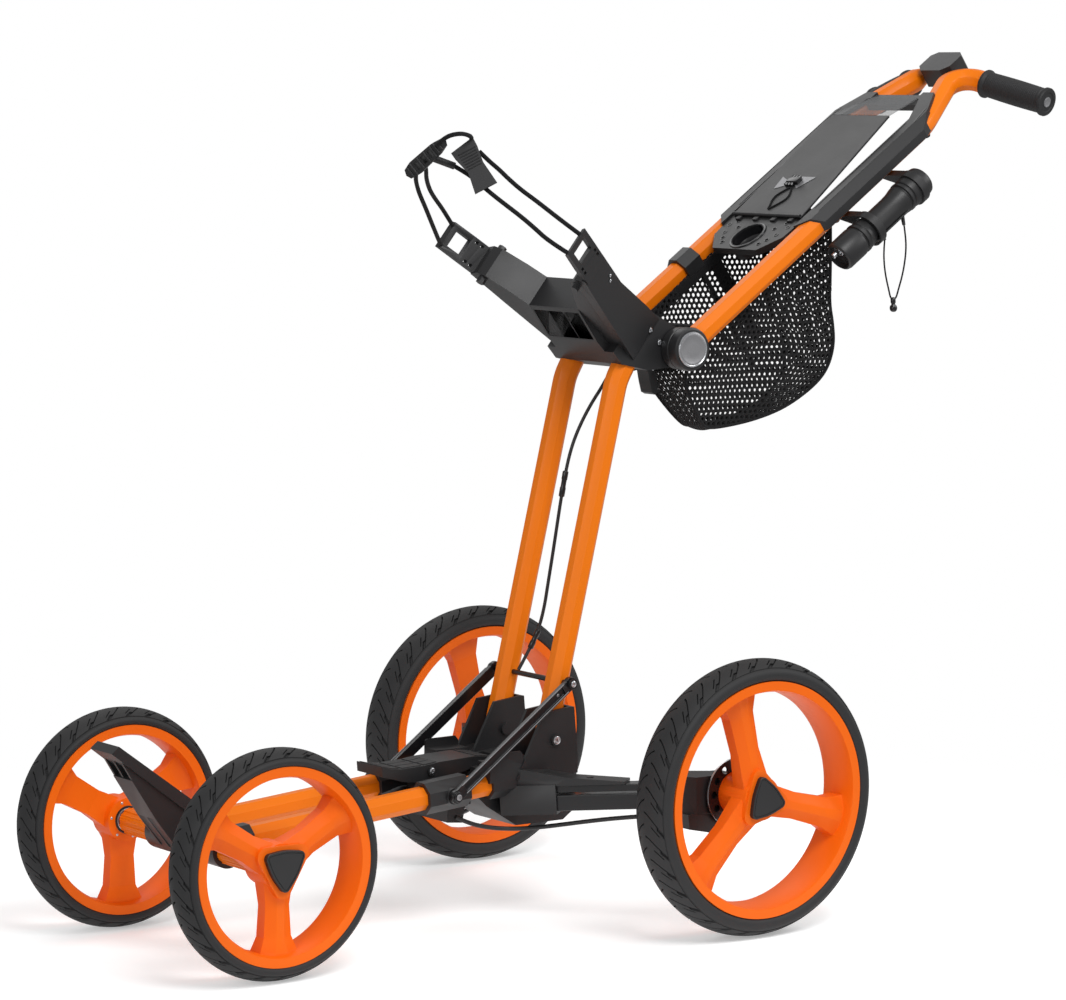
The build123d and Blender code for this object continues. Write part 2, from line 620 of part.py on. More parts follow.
# ---------------------------------------------------------------- mast
def make_struts():
    """Collars that slide on the front tubes, and the struts from them to the mast."""
    collar = cut(union(front_tube(1, COLLAR_FLATS, COLLAR_BACK, COLLAR_FRONT),
                       disc(STRUT_FOOT, RAIL_Y, STRUT_IN - GAP, 9.0)),
                 front_tube(1, TUBE_FLATS + 2 * RUN, COLLAR_BACK - 20, COLLAR_FRONT + 20))
    NODES["collars"] = both(collar)
    length = math.dist(CROSS, STRUT_FOOT)
    angle = math.degrees(math.atan2(STRUT_FOOT[1] - CROSS[1], STRUT_FOOT[0] - CROSS[0]))
    half = 6.5
    flat = slab([tilted(s, t, CROSS, angle) for s, t in ((0, -half), (length, -half), (length, half), (0, half))],
                STRUT_IN, STRUT_OUT)
    groove = slab([tilted(s, t, CROSS, angle) for s, t in ((12, -4.5), (length - 14, -4.5),
                                                           (length - 14, 4.5), (12, 4.5))],
                  STRUT_OUT - 3.5, STRUT_OUT + 1)
    head = disc(STRUT_FOOT, STRUT_OUT, STRUT_OUT + 3, 5.5)
    strut = cut(union(cut(flat, groove), disc(CROSS, STRUT_IN, STRUT_OUT, half + 1),
                      disc(STRUT_FOOT, STRUT_IN, STRUT_OUT, half + 1), head),
                disc(CROSS, STRUT_IN - 1, STRUT_OUT + 1, CROSS_R + RUN))
    NODES["struts"] = both(strut)


def mast_route(sign):
    """Axis of a mast tube from its foot to its end inside the hinge block."""
    y = sign * RAIL_Y
    return [(MAST_FOOT[0], y, MAST_FOOT[1]), (MAST_BEND[0], y, MAST_BEND[1]), (MAST_TOP[0], y, MAST_TOP[1])]


def make_mast():
    """Mast tubes, cross rod, hinge block, cradle and release."""
    for side, sign in SIDES.items():
        tube = swept_tube(mast_route(sign), 60, TUBE_FLATS, TUBE_WALL)
        NODES[f"mast_tube_{side}"] = cut(tube, disc(MAST_PIVOT, sign * 30, sign * 66, PIVOT_R + RUN),
                                         disc(CROSS, sign * 30, sign * 66, CROSS_R))
    rod_end = STRUT_OUT + 0.1
    NODES["cross_rod"] = union(disc(CROSS, -rod_end, rod_end, CROSS_R),
                               disc(CROSS, rod_end, rod_end + 3.5, 5.5), disc(CROSS, -rod_end - 3.5, -rod_end, 5.5))
    NODES["hinge_block"] = hinge_block()


def hinge_block():
    """Block on top of the mast: bag saddle in front, hinge barrel behind."""
    back = [(350, 500), (378, 474), (412, 457), (430, 460), (430, 525), (361, 538), (343, 528)]
    front = [(430, 460), (445, 462), (490, 474), (490, 514), (440, 524), (430, 525)]
    lugs = [slab([(-52, 603), (-38, 600), (-34, 616), (-54, 618)], sign * 11.2, sign * 15) for sign in SIDES.values()]
    block = union(slab([bag_point(*p) for p in back], -BLOCK_HALF, BLOCK_HALF),
                  slab([bag_point(*p) for p in front], -46, 46),
                  disc(HINGE, -BLOCK_HALF, BLOCK_HALF, BARREL_R), *lugs)
    pockets = []
    for y0, y1 in ((-42, -16), (-13, 13), (16, 42)):
        pockets.append(slab([bag_point(*p) for p in ((448, 450), (484, 450), (484, 500), (448, 500))], y0, y1))
    cutters = [swept_tube(mast_route(sign), 60, TUBE_FLATS) for sign in SIDES.values()]
    cutters.append(disc(HINGE, -BLOCK_HALF - 1, BLOCK_HALF + 1, SHAFT_R))
    cutters.append(disc(TRIGGER_PIVOT, -16, 16, 2.0))
    return cut(block, *cutters, *pockets)


def cradle_arm(sign):
    """Arm that flares round the bag, with a thin slotted end that has a window."""
    lean = math.radians(BAG_TILT)
    n_dir, a_dir = (math.cos(lean), 0, math.sin(lean)), (-math.sin(lean), 0, math.cos(lean))

    def layer(points, a0, a1):
        """Plate of an (n, y) outline between two heights along the bag."""
        start = tuple(a0 * part for part in a_dir)
        with BuildPart() as plate:
            with BuildSketch(Plane(origin=start, x_dir=n_dir, z_dir=a_dir)):
                with BuildLine():
                    Polyline(*[(n, sign * y) for n, y in points], close=True)
                make_face()
            extrude(amount=a1 - a0)
        return plate.part

    root = layer([(402, BLOCK_HALF), (430, BLOCK_HALF), (430, 46), (490, 46), (512, 60), (538, 81),
                  (543, 92), (540, 108), (404, 64)], 466, 528)
    outline = slab([bag_point(*p) for p in ((398, 470), (490, 474), (548, 477), (548, 515), (490, 514),
                                            (430, 524), (398, 527))], -140, 140)
    with BuildPart() as thick:
        add(root)
        add(outline, mode=Mode.INTERSECT)
    tip = layer([(532, 99.5), (560, 109), (586, 119), (588, 126), (560, 116.5), (532, 106.5)], ARM_BOTTOM, ARM_TOP)
    lugs = [layer([(530, 86), (534, 84), (538, 86), (539, 90), (537, 94), (533, 94), (530, 91)], a0, a1)
            for a0, a1 in ((469, 480), (512, 520))]
    window = layer([(562, 90), (580, 90), (580, 140), (562, 140)], ARM_BOTTOM + 7, ARM_TOP - 7)
    slots = [layer([(n, 90), (n + 4, 90), (n + 4, 130), (n, 130)], a, a + 3.5)
             for n in (546, 553) for a in (ARM_BOTTOM + 3, ARM_TOP - 6.5)]
    return cut(union(thick.part, tip, *lugs), window, *slots)


def bungee_routes():
    """Elastic cords from the corners of the arms to the buckle, and its own loop."""
    far_low = [(584.5, -121.5, 482), (606, -103, 479.5), (632, -85, 479.5), (658, -69, 481), (679, -57.5, 482.5),
               (693, -48.5, 484), (706, -38, 485.5), (716, -26.5, 487)]
    far_high = [(584.5, -121.5, 509), (604, -116, 511), (619, -109.5, 511), (636, -100, 509), (653, -88.5, 507),
                (669, -74, 505), (686, -55, 502), (701, -36, 500), (716, -20, 498)]
    near_high = [(584.5, 121.5, 507), (600, 107, 510), (614, 91.5, 514), (627, 74, 519), (640, 57, 523),
                 (653, 43.5, 527.5), (664, 33, 532), (676, 24, 534.5), (690, 20.5, 536)]
    near_low = [(584.5, 121.5, 481.5), (603, 101, 484), (617, 86.5, 489.5), (631, 69.5, 495), (645, 52, 499.5),
                (658, 37, 503.5), (671, 26, 507), (683, 14.5, 510.3), (694, 0, 511.7)]
    loop = [(734, 13, 509), (739, 26, 517), (731, 35.5, 529), (715, 30, 538), (702, 14, 542.5), (692, -3, 545)]
    return [[bag_xyz(*point) for point in route] for route in (far_low, far_high, near_high, near_low, loop)]


def make_bungees():
    """Bungee cords of the cradle and the hooked buckle with its pull tab."""
    cords = [cord(route, BUNGEE_D) for route in bungee_routes()]
    NODES["bungee_cords"] = group(*cords)
    for side, sign in SIDES.items():
        NODES[f"cradle_arm_{side}"] = cut(cradle_arm(sign), *cords)
    hook_plane = Plane(origin=(258, -34, 825), x_dir=(-0.137, 0.824, 0.55), z_dir=(0.876, 0.361, -0.322))
    with BuildPart() as hook:
        with BuildSketch(hook_plane):
            with BuildLine():
                Polyline((0, -6), (12, -8.5), (50, -7.5), (62, -5), (65, 0), (62, 5), (50, 7.5), (12, 8.5), (0, 6),
                         (-3, 0), close=True)
            make_face()
            for start in (14, 26, 38):
                with Locations((start + 4, 0)):
                    Rectangle(5, 9, mode=Mode.SUBTRACT)
        extrude(amount=3.5, both=True)
    tab_plane = Plane(origin=(220.2, 16.2, 854.4), x_dir=(-0.739, 0.481, 0.468), z_dir=(0.621, 0.756, 0.204))
    with BuildPart() as tab:
        with BuildSketch(tab_plane):
            with BuildLine():
                Polyline((-16, 0), (13, 5), (13, -6), (10.5, -25), (13.5, -52), (-13.5, -52), (-9.5, -28), (-15, -8),
                         close=True)
            make_face()
        extrude(amount=4)
    barb = rod((222, 0, 833.5), (248, -8, 843), 4.0)
    NODES["cord_buckle"] = group(cut(union(hook.part, barb), *cords), cut(tab.part, *cords))


def make_hinge():
    """Hinge shaft with its end caps, and the release."""
    caps = [disc(HINGE, sign * (KNUCKLE_OUT + GAP), sign * (KNUCKLE_OUT + 3), CAP_R) for sign in SIDES.values()]
    shaft = union(disc(HINGE, -KNUCKLE_OUT - 1, KNUCKLE_OUT + 1, SHAFT_R), *caps)
    NODES["hinge_pins"] = group(shaft, disc(TRIGGER_PIVOT, -15, 15, 2.0))
    lever = union(disc(TRIGGER_PIVOT, -11, 11, 4.5),
                  slab([(-49.3, 604), (-41, 601.5), (-44, 588), (-47.5, 576), (-52.5, 573.5), (-56, 577),
                        (-54.5, 592)], -10.5, 10.5))
    NODES["release_trigger"] = cut(lever, disc(TRIGGER_PIVOT, -12, 12, 2.0 + RUN))
    route = [(8.7, 10, 607.5), (22, 9.5, 587), (36, 6.5, 567), (49, 3.5, 543.5), (59, 1, 519), (65.5, -1, 491),
             (69, -4, 462), (72, -7.5, 430), (74.5, -11.5, 398), (77.5, -15.5, 366), (80.7, -18.6, 335),
             (86, -22, 310), (95, -25.5, 289), (109.1, -28, 265.4)]
    NODES["release_cable"] = union(cord(route, 4.0), *[rod(route[i], route[i + 1], 3.4) for i in (5, 11)])


# ---------------------------------------------------------------- upper frame
def upper_route(sign):
    """Axis of an upper tube: straight rail, bend to the middle, then out along the grip."""
    points = ((UPPER_START, UPPER_Y, 0), (UPPER_BEND, UPPER_Y, 0), (UPPER_APEX, 19, -4),
              (546, 66, -20.4), (549.4, 148, -48.1))
    return [upper_xyz(u, sign * y, w) for u, y, w in points]


def upper_tube(sign, wall=0.0):
    """Upper tube, solid unless a wall is given."""
    return swept_tube(upper_route(sign), [70, 27, 60], TUBE_FLATS, wall)


def make_upper_tubes():
    """Upper tubes, hinge knuckles, grips, handle centre and latch ring."""
    knuckles, grips = [], []
    for side, sign in SIDES.items():
        NODES[f"upper_tube_{side}"] = upper_tube(sign, TUBE_WALL)
        inner = BLOCK_HALF + GAP
        eye = union(disc(HINGE, sign * inner, sign * KNUCKLE_OUT, KNUCKLE_R),
                    octagon(upper_xyz(0, sign * UPPER_Y, 0), upper_xyz(UPPER_START, sign * UPPER_Y, 0), TUBE_FLATS),
                    octagon(upper_xyz(UPPER_START - 5, sign * UPPER_Y, 0), upper_xyz(50, sign * UPPER_Y, 0),
                            TUBE_FLATS - 2 * TUBE_WALL))
        knuckles.append(cut(eye, disc(HINGE, sign * 60, sign * 90, SHAFT_R + RUN)))
        end, start = upper_xyz(549.6, sign * 152, -49.5), upper_xyz(546.2, sign * 66, -20.4)
        grip = union(rod(start, end, GRIP_R), rod(start, tuple(Vector(*start) + (Vector(*end) - Vector(*start)) * 0.05),
                                                  GRIP_R + 1.5),
                     rod(tuple(Vector(*start) + (Vector(*end) - Vector(*start)) * 0.96), end, GRIP_R + 1.5))
        grips.append(cut(grip, upper_tube(sign)))
    NODES["hinge_knuckles"] = group(*knuckles)
    NODES["grips"] = group(*grips)
    hub = upper_plate([(531, -17), (531, 17), (540, 27), (562, 27), (569, 19), (569, -19), (562, -27), (540, -27)],
                      -15, 9)
    NODES["handle_hub"] = cut(hub, upper_tube(1), upper_tube(-1))
    ring = union(octagon(upper_xyz(RING_BACK, -UPPER_Y, 0), upper_xyz(RING_FRONT, -UPPER_Y, 0), RING_FLATS),
                 upper_slab([(76, -20), (RING_FRONT, -20), (RING_FRONT, -14), (76, -15)], -83, -67))
    NODES["latch_ring"] = cut(ring, upper_tube(-1))


def make_console():
    """Console frame with its pocket, the flat panel and the clear flap."""
    tray = upper_plate([(168.5, -39.4), (168.5, 39.4), (194, 62), (236, 65.6), (236, -65.6), (194, -62)],
                       TRAY_TOP - 8, TRAY_TOP)
    ledge = upper_plate([(226, -56), (226, 56), (234, 56), (234, -56)], TRAY_TOP - 1, TRAY_TOP + 0.5)
    cup = upper_plate_disc(POCKET_U, TRAY_TOP - POCKET_DEPTH - 3, TRAY_TOP, POCKET_R + 3)
    bar = upper_plate([(458, -45), (458, 45), (478, 41), (478, -41)], 2, 10.5)
    pieces = [tray, ledge, cup, bar]
    for sign in SIDES.values():
        near, far = sign * RAIL_IN, sign * RAIL_OUT
        rail = upper_plate([(212, near), (236, far), (418, far), (446, sign * (UPPER_Y + 4)), (434, near)],
                           -6, RAIL_TOP)
        wing = upper_plate([(425, near), (425, sign * (UPPER_Y + 7)), (446, sign * (UPPER_Y + 4)), (478, sign * 60),
                            (478, sign * 41), (466, sign * 41), (464, sign * 46)], RAIL_TOP - 4.8, RAIL_TOP)
        pieces += [rail, wing]
    cutters = [upper_tube(1), upper_tube(-1), upper_plate_disc(POCKET_U, TRAY_TOP - POCKET_DEPTH, 20, POCKET_R)]
    for sign in SIDES.values():
        cutters.append(rail_chamfer(sign))
        for u, y in ((180, 33), (188, 40), (209, 33), (220, 44)):
            cutters.append(upper_plate_disc(u, 0, 20, 2.5, sign * y))
    NODES["console_frame"] = cut(union(*pieces), *cutters)
    panel_low, panel_high = (229, 14.6), (412, 28)
    NODES["console_panel"] = sloping_plate(panel_low, panel_high, 62, 51, PANEL_T)
    NODES["console_flap"] = sloping_plate((412.6, 28), (474.9, 12.3), 51, 38.5, FLAP_T)


def rail_chamfer(sign):
    """Corner taken off the outer upper edge of a console rail."""
    edge = TUBE_FLATS / math.sqrt(2) + RAIL_CHAMFER_WALL * math.sqrt(2)
    low = RAIL_OUT - UPPER_Y + 1
    section = [(sign * (UPPER_Y + edge - RAIL_TOP), -RAIL_TOP), (sign * (UPPER_Y + edge - RAIL_TOP - 2), -RAIL_TOP - 2),
               (sign * (UPPER_Y + low), -RAIL_TOP - 2), (sign * (UPPER_Y + low), low - edge)]
    with BuildPart() as prism:
        with BuildSketch(Plane(origin=upper_xyz(200, 0, 0), x_dir=(0, 1, 0), z_dir=U_DIR)):
            with BuildLine():
                Polyline(*section, close=True)
            make_face()
        extrude(amount=260)
    return prism.part


def upper_plate_disc(u, w0, w1, radius, y=0.0):
    """Round plug square to the upper frame."""
    return rod(upper_xyz(u, y, w0), upper_xyz(u, y, w1), radius)


def sloping_plate(low, high, half_low, half_high, thickness):
    """Plate between two (u, w) points of its upper face, tapering in width."""
    du, dw = high[0] - low[0], high[1] - low[1]
    length = math.hypot(du, dw)
    below = (dw / length * thickness, -du / length * thickness)
    side = upper_slab([low, high, (high[0] + below[0], high[1] + below[1]),
                       (low[0] + below[0], low[1] + below[1])], -80, 80)
    plan = upper_plate([(low[0] - 5, -half_low), (low[0] - 5, half_low), (high[0] + 5, half_high),
                        (high[0] + 5, -half_high)], -10, 60)
    with BuildPart() as plate:
        add(side)
        add(plan, mode=Mode.INTERSECT)
    return plate.part


def basket_form(wall):
    """Bag hung between the tubes, narrowing to its bottom; its inside when a wall is given."""
    top = BASKET_TOP + 2 * wall
    inner = upper_point(40, BASKET_TOP), upper_point(275, BASKET_TOP)
    low = [(-67, 598), (-118, 531), (-170, 536), (-232, 553), (-286, 594), (-288, 632), (-268, 676)]
    if wall:
        inner = upper_point(44, top), upper_point(272, top)
        low = [(-71, 599), (-119.5, 534.5), (-169.5, 539), (-230.5, 556), (-283, 596), (-285, 632), (-265, 677)]
    half = BASKET_HALF - wall
    side = slab([inner[0], *low, inner[1]], -half, half)
    profile = [(half, 860), (half, 690), (58 - wall, 672), (36 - wall, 588), (22 - wall, 540), (16 - wall, 520)]
    with BuildPart() as front:
        with BuildSketch(Plane.YZ.offset(-400)):
            with BuildLine():
                Polyline(*profile, *[(-y, z) for y, z in reversed(profile)], close=True)
            make_face()
        extrude(amount=400)
        add(side, mode=Mode.INTERSECT)
    return front.part


def make_holders():
    """Mesh basket under the tubes, umbrella holder with its clips and elastic loop."""
    NODES["basket"] = cut(basket_form(0), basket_form(BASKET_WALL),
                          octagon(upper_xyz(RING_BACK - GAP, -UPPER_Y, 0), upper_xyz(RING_FRONT + GAP, -UPPER_Y, 0),
                                  RING_FLATS + 2 * GAP))
    low, high = (upper_xyz(u, UMBRELLA_Y, UMBRELLA_W) for u in (UMBRELLA_LOW, UMBRELLA_HIGH))
    floor = upper_xyz(UMBRELLA_LOW + 5, UMBRELLA_Y, UMBRELLA_W)
    stud = rod(upper_xyz(UMBRELLA_LOW - 8, UMBRELLA_Y, UMBRELLA_W + 6),
               upper_xyz(UMBRELLA_LOW + 1, UMBRELLA_Y, UMBRELLA_W + 6), 3.0)
    NODES["umbrella_tube"] = cut(union(rod(low, high, UMBRELLA_R), stud), rod(floor, high, UMBRELLA_R - 3))
    clips = []
    for u in (275, 355):
        ring = rod(upper_xyz(u - 5, UMBRELLA_Y, UMBRELLA_W), upper_xyz(u + 5, UMBRELLA_Y, UMBRELLA_W),
                   UMBRELLA_R + 2.5)
        with BuildPart() as web:
            with BuildSketch(Plane(origin=upper_xyz(u - 5, 0, 0), x_dir=(0, 1, 0), z_dir=U_DIR)):
                with BuildLine():
                    Polyline((66, 12.5), (84, 12.5), (102, 12.5), (96, 26), (66, 17), close=True)
                make_face()
            extrude(amount=10)
        clips.append(cut(union(ring, web.part), rod(low, high, UMBRELLA_R), upper_tube(1)))
    NODES["umbrella_clips"] = group(*clips)
    loop = [(-302, 115, 750), (-300, 116, 737), (-300.5, 116.5, 722), (-303.5, 116.5, 707), (-308.5, 116, 693),
            (-313, 115, 681), (-321, 114.5, 681), (-325, 114.5, 693), (-330, 114.5, 707), (-333.5, 114.5, 722),
            (-335, 115, 738), (-334, 115, 753), (-331, 115, 767)]
    NODES["umbrella_loop"] = cord(loop, 2.0)


# ---------------------------------------------------------------- export
def main():
    """Build every node and write its STEP file."""
    make_wheels()
    make_legs()
    make_front_frame()
    make_chassis()
    make_fasteners()
    make_brake()
    make_struts()
    make_mast()
    make_bungees()
    make_hinge()
    make_upper_tubes()
    make_console()
    make_holders()
    os.makedirs("parts", exist_ok=True)
    for name, shape in NODES.items():
        placed = shape.moved(Location((REAR_AXLE_X, 0, REAR_TYRE_R - AXLE_Z)))
        placed.label = name
        export_step(placed, f"parts/{name}.step")
        box = placed.bounding_box()
        print(f"{name}: {len(placed.solids())} solids, x {box.min.X:.1f}..{box.max.X:.1f}, "
              f"y {box.min.Y:.1f}..{box.max.Y:.1f}, z {box.min.Z:.1f}..{box.max.Z:.1f}")


if __name__ == "__main__":
    main()
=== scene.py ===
"""Looks of the golf push trolley: finishes, dressed frame parts, soft goods and small hardware."""

import json
import logging
import math
from dataclasses import dataclass, field
from enum import Enum
from typing import Iterable, Sequence

import bmesh
import bpy
from bmesh.types import BMesh, BMVert
from bpy.types import ID, Material, Mesh, Node, NodeSocket, NodeTree, Object
from mathutils import Matrix, Vector


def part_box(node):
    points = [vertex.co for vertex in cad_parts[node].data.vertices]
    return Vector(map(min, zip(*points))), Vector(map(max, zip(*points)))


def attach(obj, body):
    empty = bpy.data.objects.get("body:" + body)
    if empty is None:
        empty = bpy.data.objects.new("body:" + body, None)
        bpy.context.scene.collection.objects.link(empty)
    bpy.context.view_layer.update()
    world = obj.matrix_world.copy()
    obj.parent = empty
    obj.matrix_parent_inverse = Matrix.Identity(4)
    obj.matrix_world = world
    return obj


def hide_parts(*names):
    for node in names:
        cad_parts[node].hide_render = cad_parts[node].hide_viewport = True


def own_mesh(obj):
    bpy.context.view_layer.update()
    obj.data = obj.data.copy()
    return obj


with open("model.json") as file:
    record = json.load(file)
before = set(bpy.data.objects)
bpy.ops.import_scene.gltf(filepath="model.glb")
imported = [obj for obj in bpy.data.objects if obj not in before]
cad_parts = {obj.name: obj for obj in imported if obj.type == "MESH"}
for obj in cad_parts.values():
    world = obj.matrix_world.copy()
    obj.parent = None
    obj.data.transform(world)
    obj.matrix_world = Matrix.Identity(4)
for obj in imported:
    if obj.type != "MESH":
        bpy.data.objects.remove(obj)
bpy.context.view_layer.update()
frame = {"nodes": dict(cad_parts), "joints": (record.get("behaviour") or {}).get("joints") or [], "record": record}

LOG = logging.getLogger("trolley")
Point = tuple[float, float, float]
Pair = tuple[float, float]
MM = 0.001
SIDES = {"left": 1, "right": -1}
PITCHES = {"rear": 36, "front": 30}  # grooves round each tyre
WELD = 2e-6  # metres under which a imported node's points are one
FLAT = math.radians(0.8)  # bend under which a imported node's facets are one
ROUNDED = math.radians(25)  # bend over which an edge is rounded
WHITE = (1, 1, 1, 1)


# -------- frames of the part
@dataclass(frozen=True)
class Lay:
    """A tilted side frame of the trolley, with its points given in millimetres.

    The first coordinate runs along the frame, the second to the left and the
    third outwards, square to both.
    """

    origin: Vector
    along: Vector
    out: Vector

    def at(self, a: float, y: float, w: float) -> Vector:
        """Point of the part for local millimetres."""
        return self.origin + (self.along * a + Vector((0, y, 0)) + self.out * w) * MM


def joint_point(name: str) -> Vector:
    """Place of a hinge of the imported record.

    Args:
        name: the joint's name.

    Returns:
        The point in the part's frame, in metres.
    """
    return Vector(next(j["pos_m"] for j in frame["joints"] if j["name"] == name))


def tilted(origin: Vector, tilt: float, way: int = 1) -> Lay:
    """Side frame that rises by a tilt.

    Args:
        origin: its origin, in metres.
        tilt: in degrees.
        way: 1 for a frame that rises to the front, -1 to the back.

    Returns:
        The frame.
    """
    rise, run = math.sin(math.radians(tilt)), math.cos(math.radians(tilt))
    return Lay(origin, Vector((way * run, 0, rise)), Vector((-way * rise, 0, run)))


REAR_AXLE = joint_point("spin_rear_left")
FRONT_AXLE = joint_point("spin_front_left")
HINGE = joint_point("handle_fold")
AXLE_X = REAR_AXLE.x
UPPER = tilted(Vector((HINGE.x, 0, HINGE.z)), 35.5, -1)
BAG = tilted(Vector((AXLE_X, 0, 0)), 38.7)
BASE = tilted(Vector((AXLE_X, 0, 0)), 0)


# -------- finishes
class Slot(Enum):
    """Material slots of the record."""

    ORANGE_PAINT = "orange_paint"
    ORANGE_CAST = "orange_cast"
    BLACK_PLASTIC = "black_plastic"
    BLACK_METAL = "black_metal"
    FOAM_RUBBER = "foam_rubber"
    GRIP_RUBBER = "grip_rubber"
    BLACK_TEXTILE = "black_textile"
    BARE_STEEL = "bare_steel"
    GREY_METAL = "grey_metal"
    SMOKE_CLEAR = "smoke_clear"


def node_group(name: str, inputs: dict[str, object], outputs: Sequence[str]) -> NodeTree:
    """Empty shader node group with named sockets, of which "Colour" is a colour and the others are numbers.

    Args:
        name: the group's name.
        inputs: defaults of the inputs by name.
        outputs: names of the outputs.

    Returns:
        The new group, with "in" and "out" nodes.
    """
    tree = bpy.data.node_groups.new(name, "ShaderNodeTree")
    for way, labels in (("INPUT", inputs), ("OUTPUT", outputs)):
        for label in labels:
            kind = "NodeSocketColor" if label == "Colour" else "NodeSocketFloat"
            socket = tree.interface.new_socket(name=label, in_out=way, socket_type=kind)
            if way == "INPUT":
                socket.default_value = inputs[label]
    start, end = tree.nodes.new("NodeGroupInput"), tree.nodes.new("NodeGroupOutput")
    start.name, end.name = "in", "out"
    return tree


def add_node(tree: NodeTree, kind: str, *feeds: object, **values: object) -> Node:
    """New node with its properties set and its sockets fed.

    Args:
        tree: the node tree.
        kind: node type without its "ShaderNode" start.
        feeds: what goes into the first sockets, an output to link or a value.
        values: properties, or what goes into the sockets of those names, with _ for spaces.

    Returns:
        The node.
    """
    node = tree.nodes.new("ShaderNode" + kind)
    sockets = [(node.inputs[index], feed) for index, feed in enumerate(feeds)]
    for key, value in values.items():
        if hasattr(node, key):
            setattr(node, key, value)
        else:
            sockets.append((node.inputs[key.replace("_", " ")], value))
    for socket, value in sockets:
        if isinstance(value, NodeSocket):
            tree.links.new(value, socket)
        else:
            socket.default_value = value
    return node


def fill(node: Node, values: dict[str, object]) -> None:
    """Sets the node's input values by their names."""
    for label, value in values.items():
        node.inputs[label].default_value = value


def combine(tree: NodeTree, operation: str, *feeds: object, **values: object) -> NodeSocket:
    """Result of a math node fed with outputs or numbers."""
    return add_node(tree, "Math", *feeds, operation=operation, **values).outputs[0]


def surface_group() -> NodeTree:
    """Shared surface of moulded and painted parts: mottle, fine grain and settled dust.

    Returns:
        The new group.
    """
    tree = node_group("surface", {"Colour": (0.5, 0.5, 0.5, 1), "Grain Scale": 900.0, "Grain Depth": 0.2,
                                  "Roughness": 0.5, "Mottle": 0.1, "Dust": 0.1}, ("Colour", "Roughness", "Height"))
    start, end, link = tree.nodes["in"].outputs, tree.nodes["out"].inputs, tree.links.new
    place = add_node(tree, "TexCoord").outputs["Object"]
    cloud = add_node(tree, "TexNoise", Vector=place, Scale=14.0, Detail=4.0, Roughness=0.6).outputs["Fac"]
    fine = add_node(tree, "TexNoise", Vector=place, Scale=start["Grain Scale"], Detail=3.0, Roughness=0.7)
    swing = add_node(tree, "MapRange", Value=cloud, To_Min=-1.0, To_Max=1.0).outputs["Result"]
    amount = combine(tree, "MULTIPLY", swing, start["Mottle"])
    tone = add_node(tree, "HueSaturation", Color=start["Colour"], Value=combine(tree, "ADD", amount, 1.0))
    split = add_node(tree, "SeparateXYZ", add_node(tree, "NewGeometry").outputs["Normal"])
    up = add_node(tree, "MapRange", Value=split.outputs["Z"], From_Min=0.55, From_Max=1.0).outputs["Result"]
    dust = combine(tree, "MULTIPLY", combine(tree, "MULTIPLY", up, cloud), start["Dust"])
    veil = add_node(tree, "Mix", dust, data_type="RGBA")
    link(tone.outputs["Color"], veil.inputs[6])
    veil.inputs[7].default_value = (0.30, 0.27, 0.23, 1)
    rough = combine(tree, "MULTIPLY_ADD", amount, 0.6, start["Roughness"])
    link(veil.outputs[2], end["Colour"])
    link(combine(tree, "ADD", rough, dust, use_clamp=True), end["Roughness"])
    link(combine(tree, "MULTIPLY", fine.outputs["Fac"], start["Grain Depth"]), end["Height"])
    return tree


def weave_group() -> NodeTree:
    """Crossed threads for webbing and cloth: height and shade of a plain weave.

    Returns:
        The new group.
    """
    tree = node_group("weave", {"Threads": 1200.0, "Colour": (0.02, 0.02, 0.02, 1)}, ("Colour", "Height"))
    start, end, link = tree.nodes["in"].outputs, tree.nodes["out"].inputs, tree.links.new
    place = add_node(tree, "TexCoord").outputs["Object"]
    crossed = [add_node(tree, "TexWave", wave_type="BANDS", bands_direction=direction, Distortion=0.6, Detail=1.0,
                        Vector=place, Scale=start["Threads"]).outputs["Fac"] for direction in ("DIAGONAL", "Z")]
    product = combine(tree, "MULTIPLY", *crossed)
    shade = add_node(tree, "MapRange", Value=product, To_Min=0.6, To_Max=1.5)
    tone = add_node(tree, "HueSaturation", Color=start["Colour"], Value=shade.outputs["Result"])
    link(tone.outputs["Color"], end["Colour"])
    link(product, end["Height"])
    return tree


@dataclass(frozen=True)
class Finish:
    """Finish of a material slot, as set on its shader."""

    slot: Slot
    colour: Point
    roughness: float
    metallic: float = 0.0
    coat: float = 0.0
    specular: float = 0.5
    grain_scale: float = 900.0
    grain_depth: float = 0.2
    bump: float = 0.05
    mottle: float = 0.06
    dust: float = 0.0
    woven: float = 0.0
    sheen: float = 0.0
    alpha: float = 1.0

    def material(self, groups: dict[str, NodeTree]) -> Material:
        """The finish as a node material.

        Args:
            groups: the shared node groups by name.

        Returns:
            The material.
        """
        made = bpy.data.materials.new(self.slot.value)
        made.use_nodes = True
        tree = made.node_tree
        shader = tree.nodes["Principled BSDF"]
        link = tree.links.new
        group = tree.nodes.new("ShaderNodeGroup")
        group.node_tree = groups["weave" if self.woven else "surface"]
        grown = {"Colour": (*self.colour, 1)}
        plain = {"Metallic": self.metallic, "Coat Weight": self.coat, "Coat Roughness": 0.12, "Alpha": self.alpha,
                 "Specular IOR Level": self.specular, "Sheen Weight": self.sheen}
        if self.woven:
            grown["Threads"] = self.woven
            plain["Roughness"] = self.roughness
        else:
            grown |= {"Grain Scale": self.grain_scale, "Grain Depth": self.grain_depth, "Roughness": self.roughness,
                      "Mottle": self.mottle, "Dust": self.dust}
            link(group.outputs["Roughness"], shader.inputs["Roughness"])
        fill(group, grown)
        fill(shader, plain)
        bump = add_node(tree, "Bump", Strength=self.bump, Distance=0.0004, Height=group.outputs["Height"])
        link(group.outputs["Colour"], shader.inputs["Base Color"])
        link(bump.outputs["Normal"], shader.inputs["Normal"])
        return made


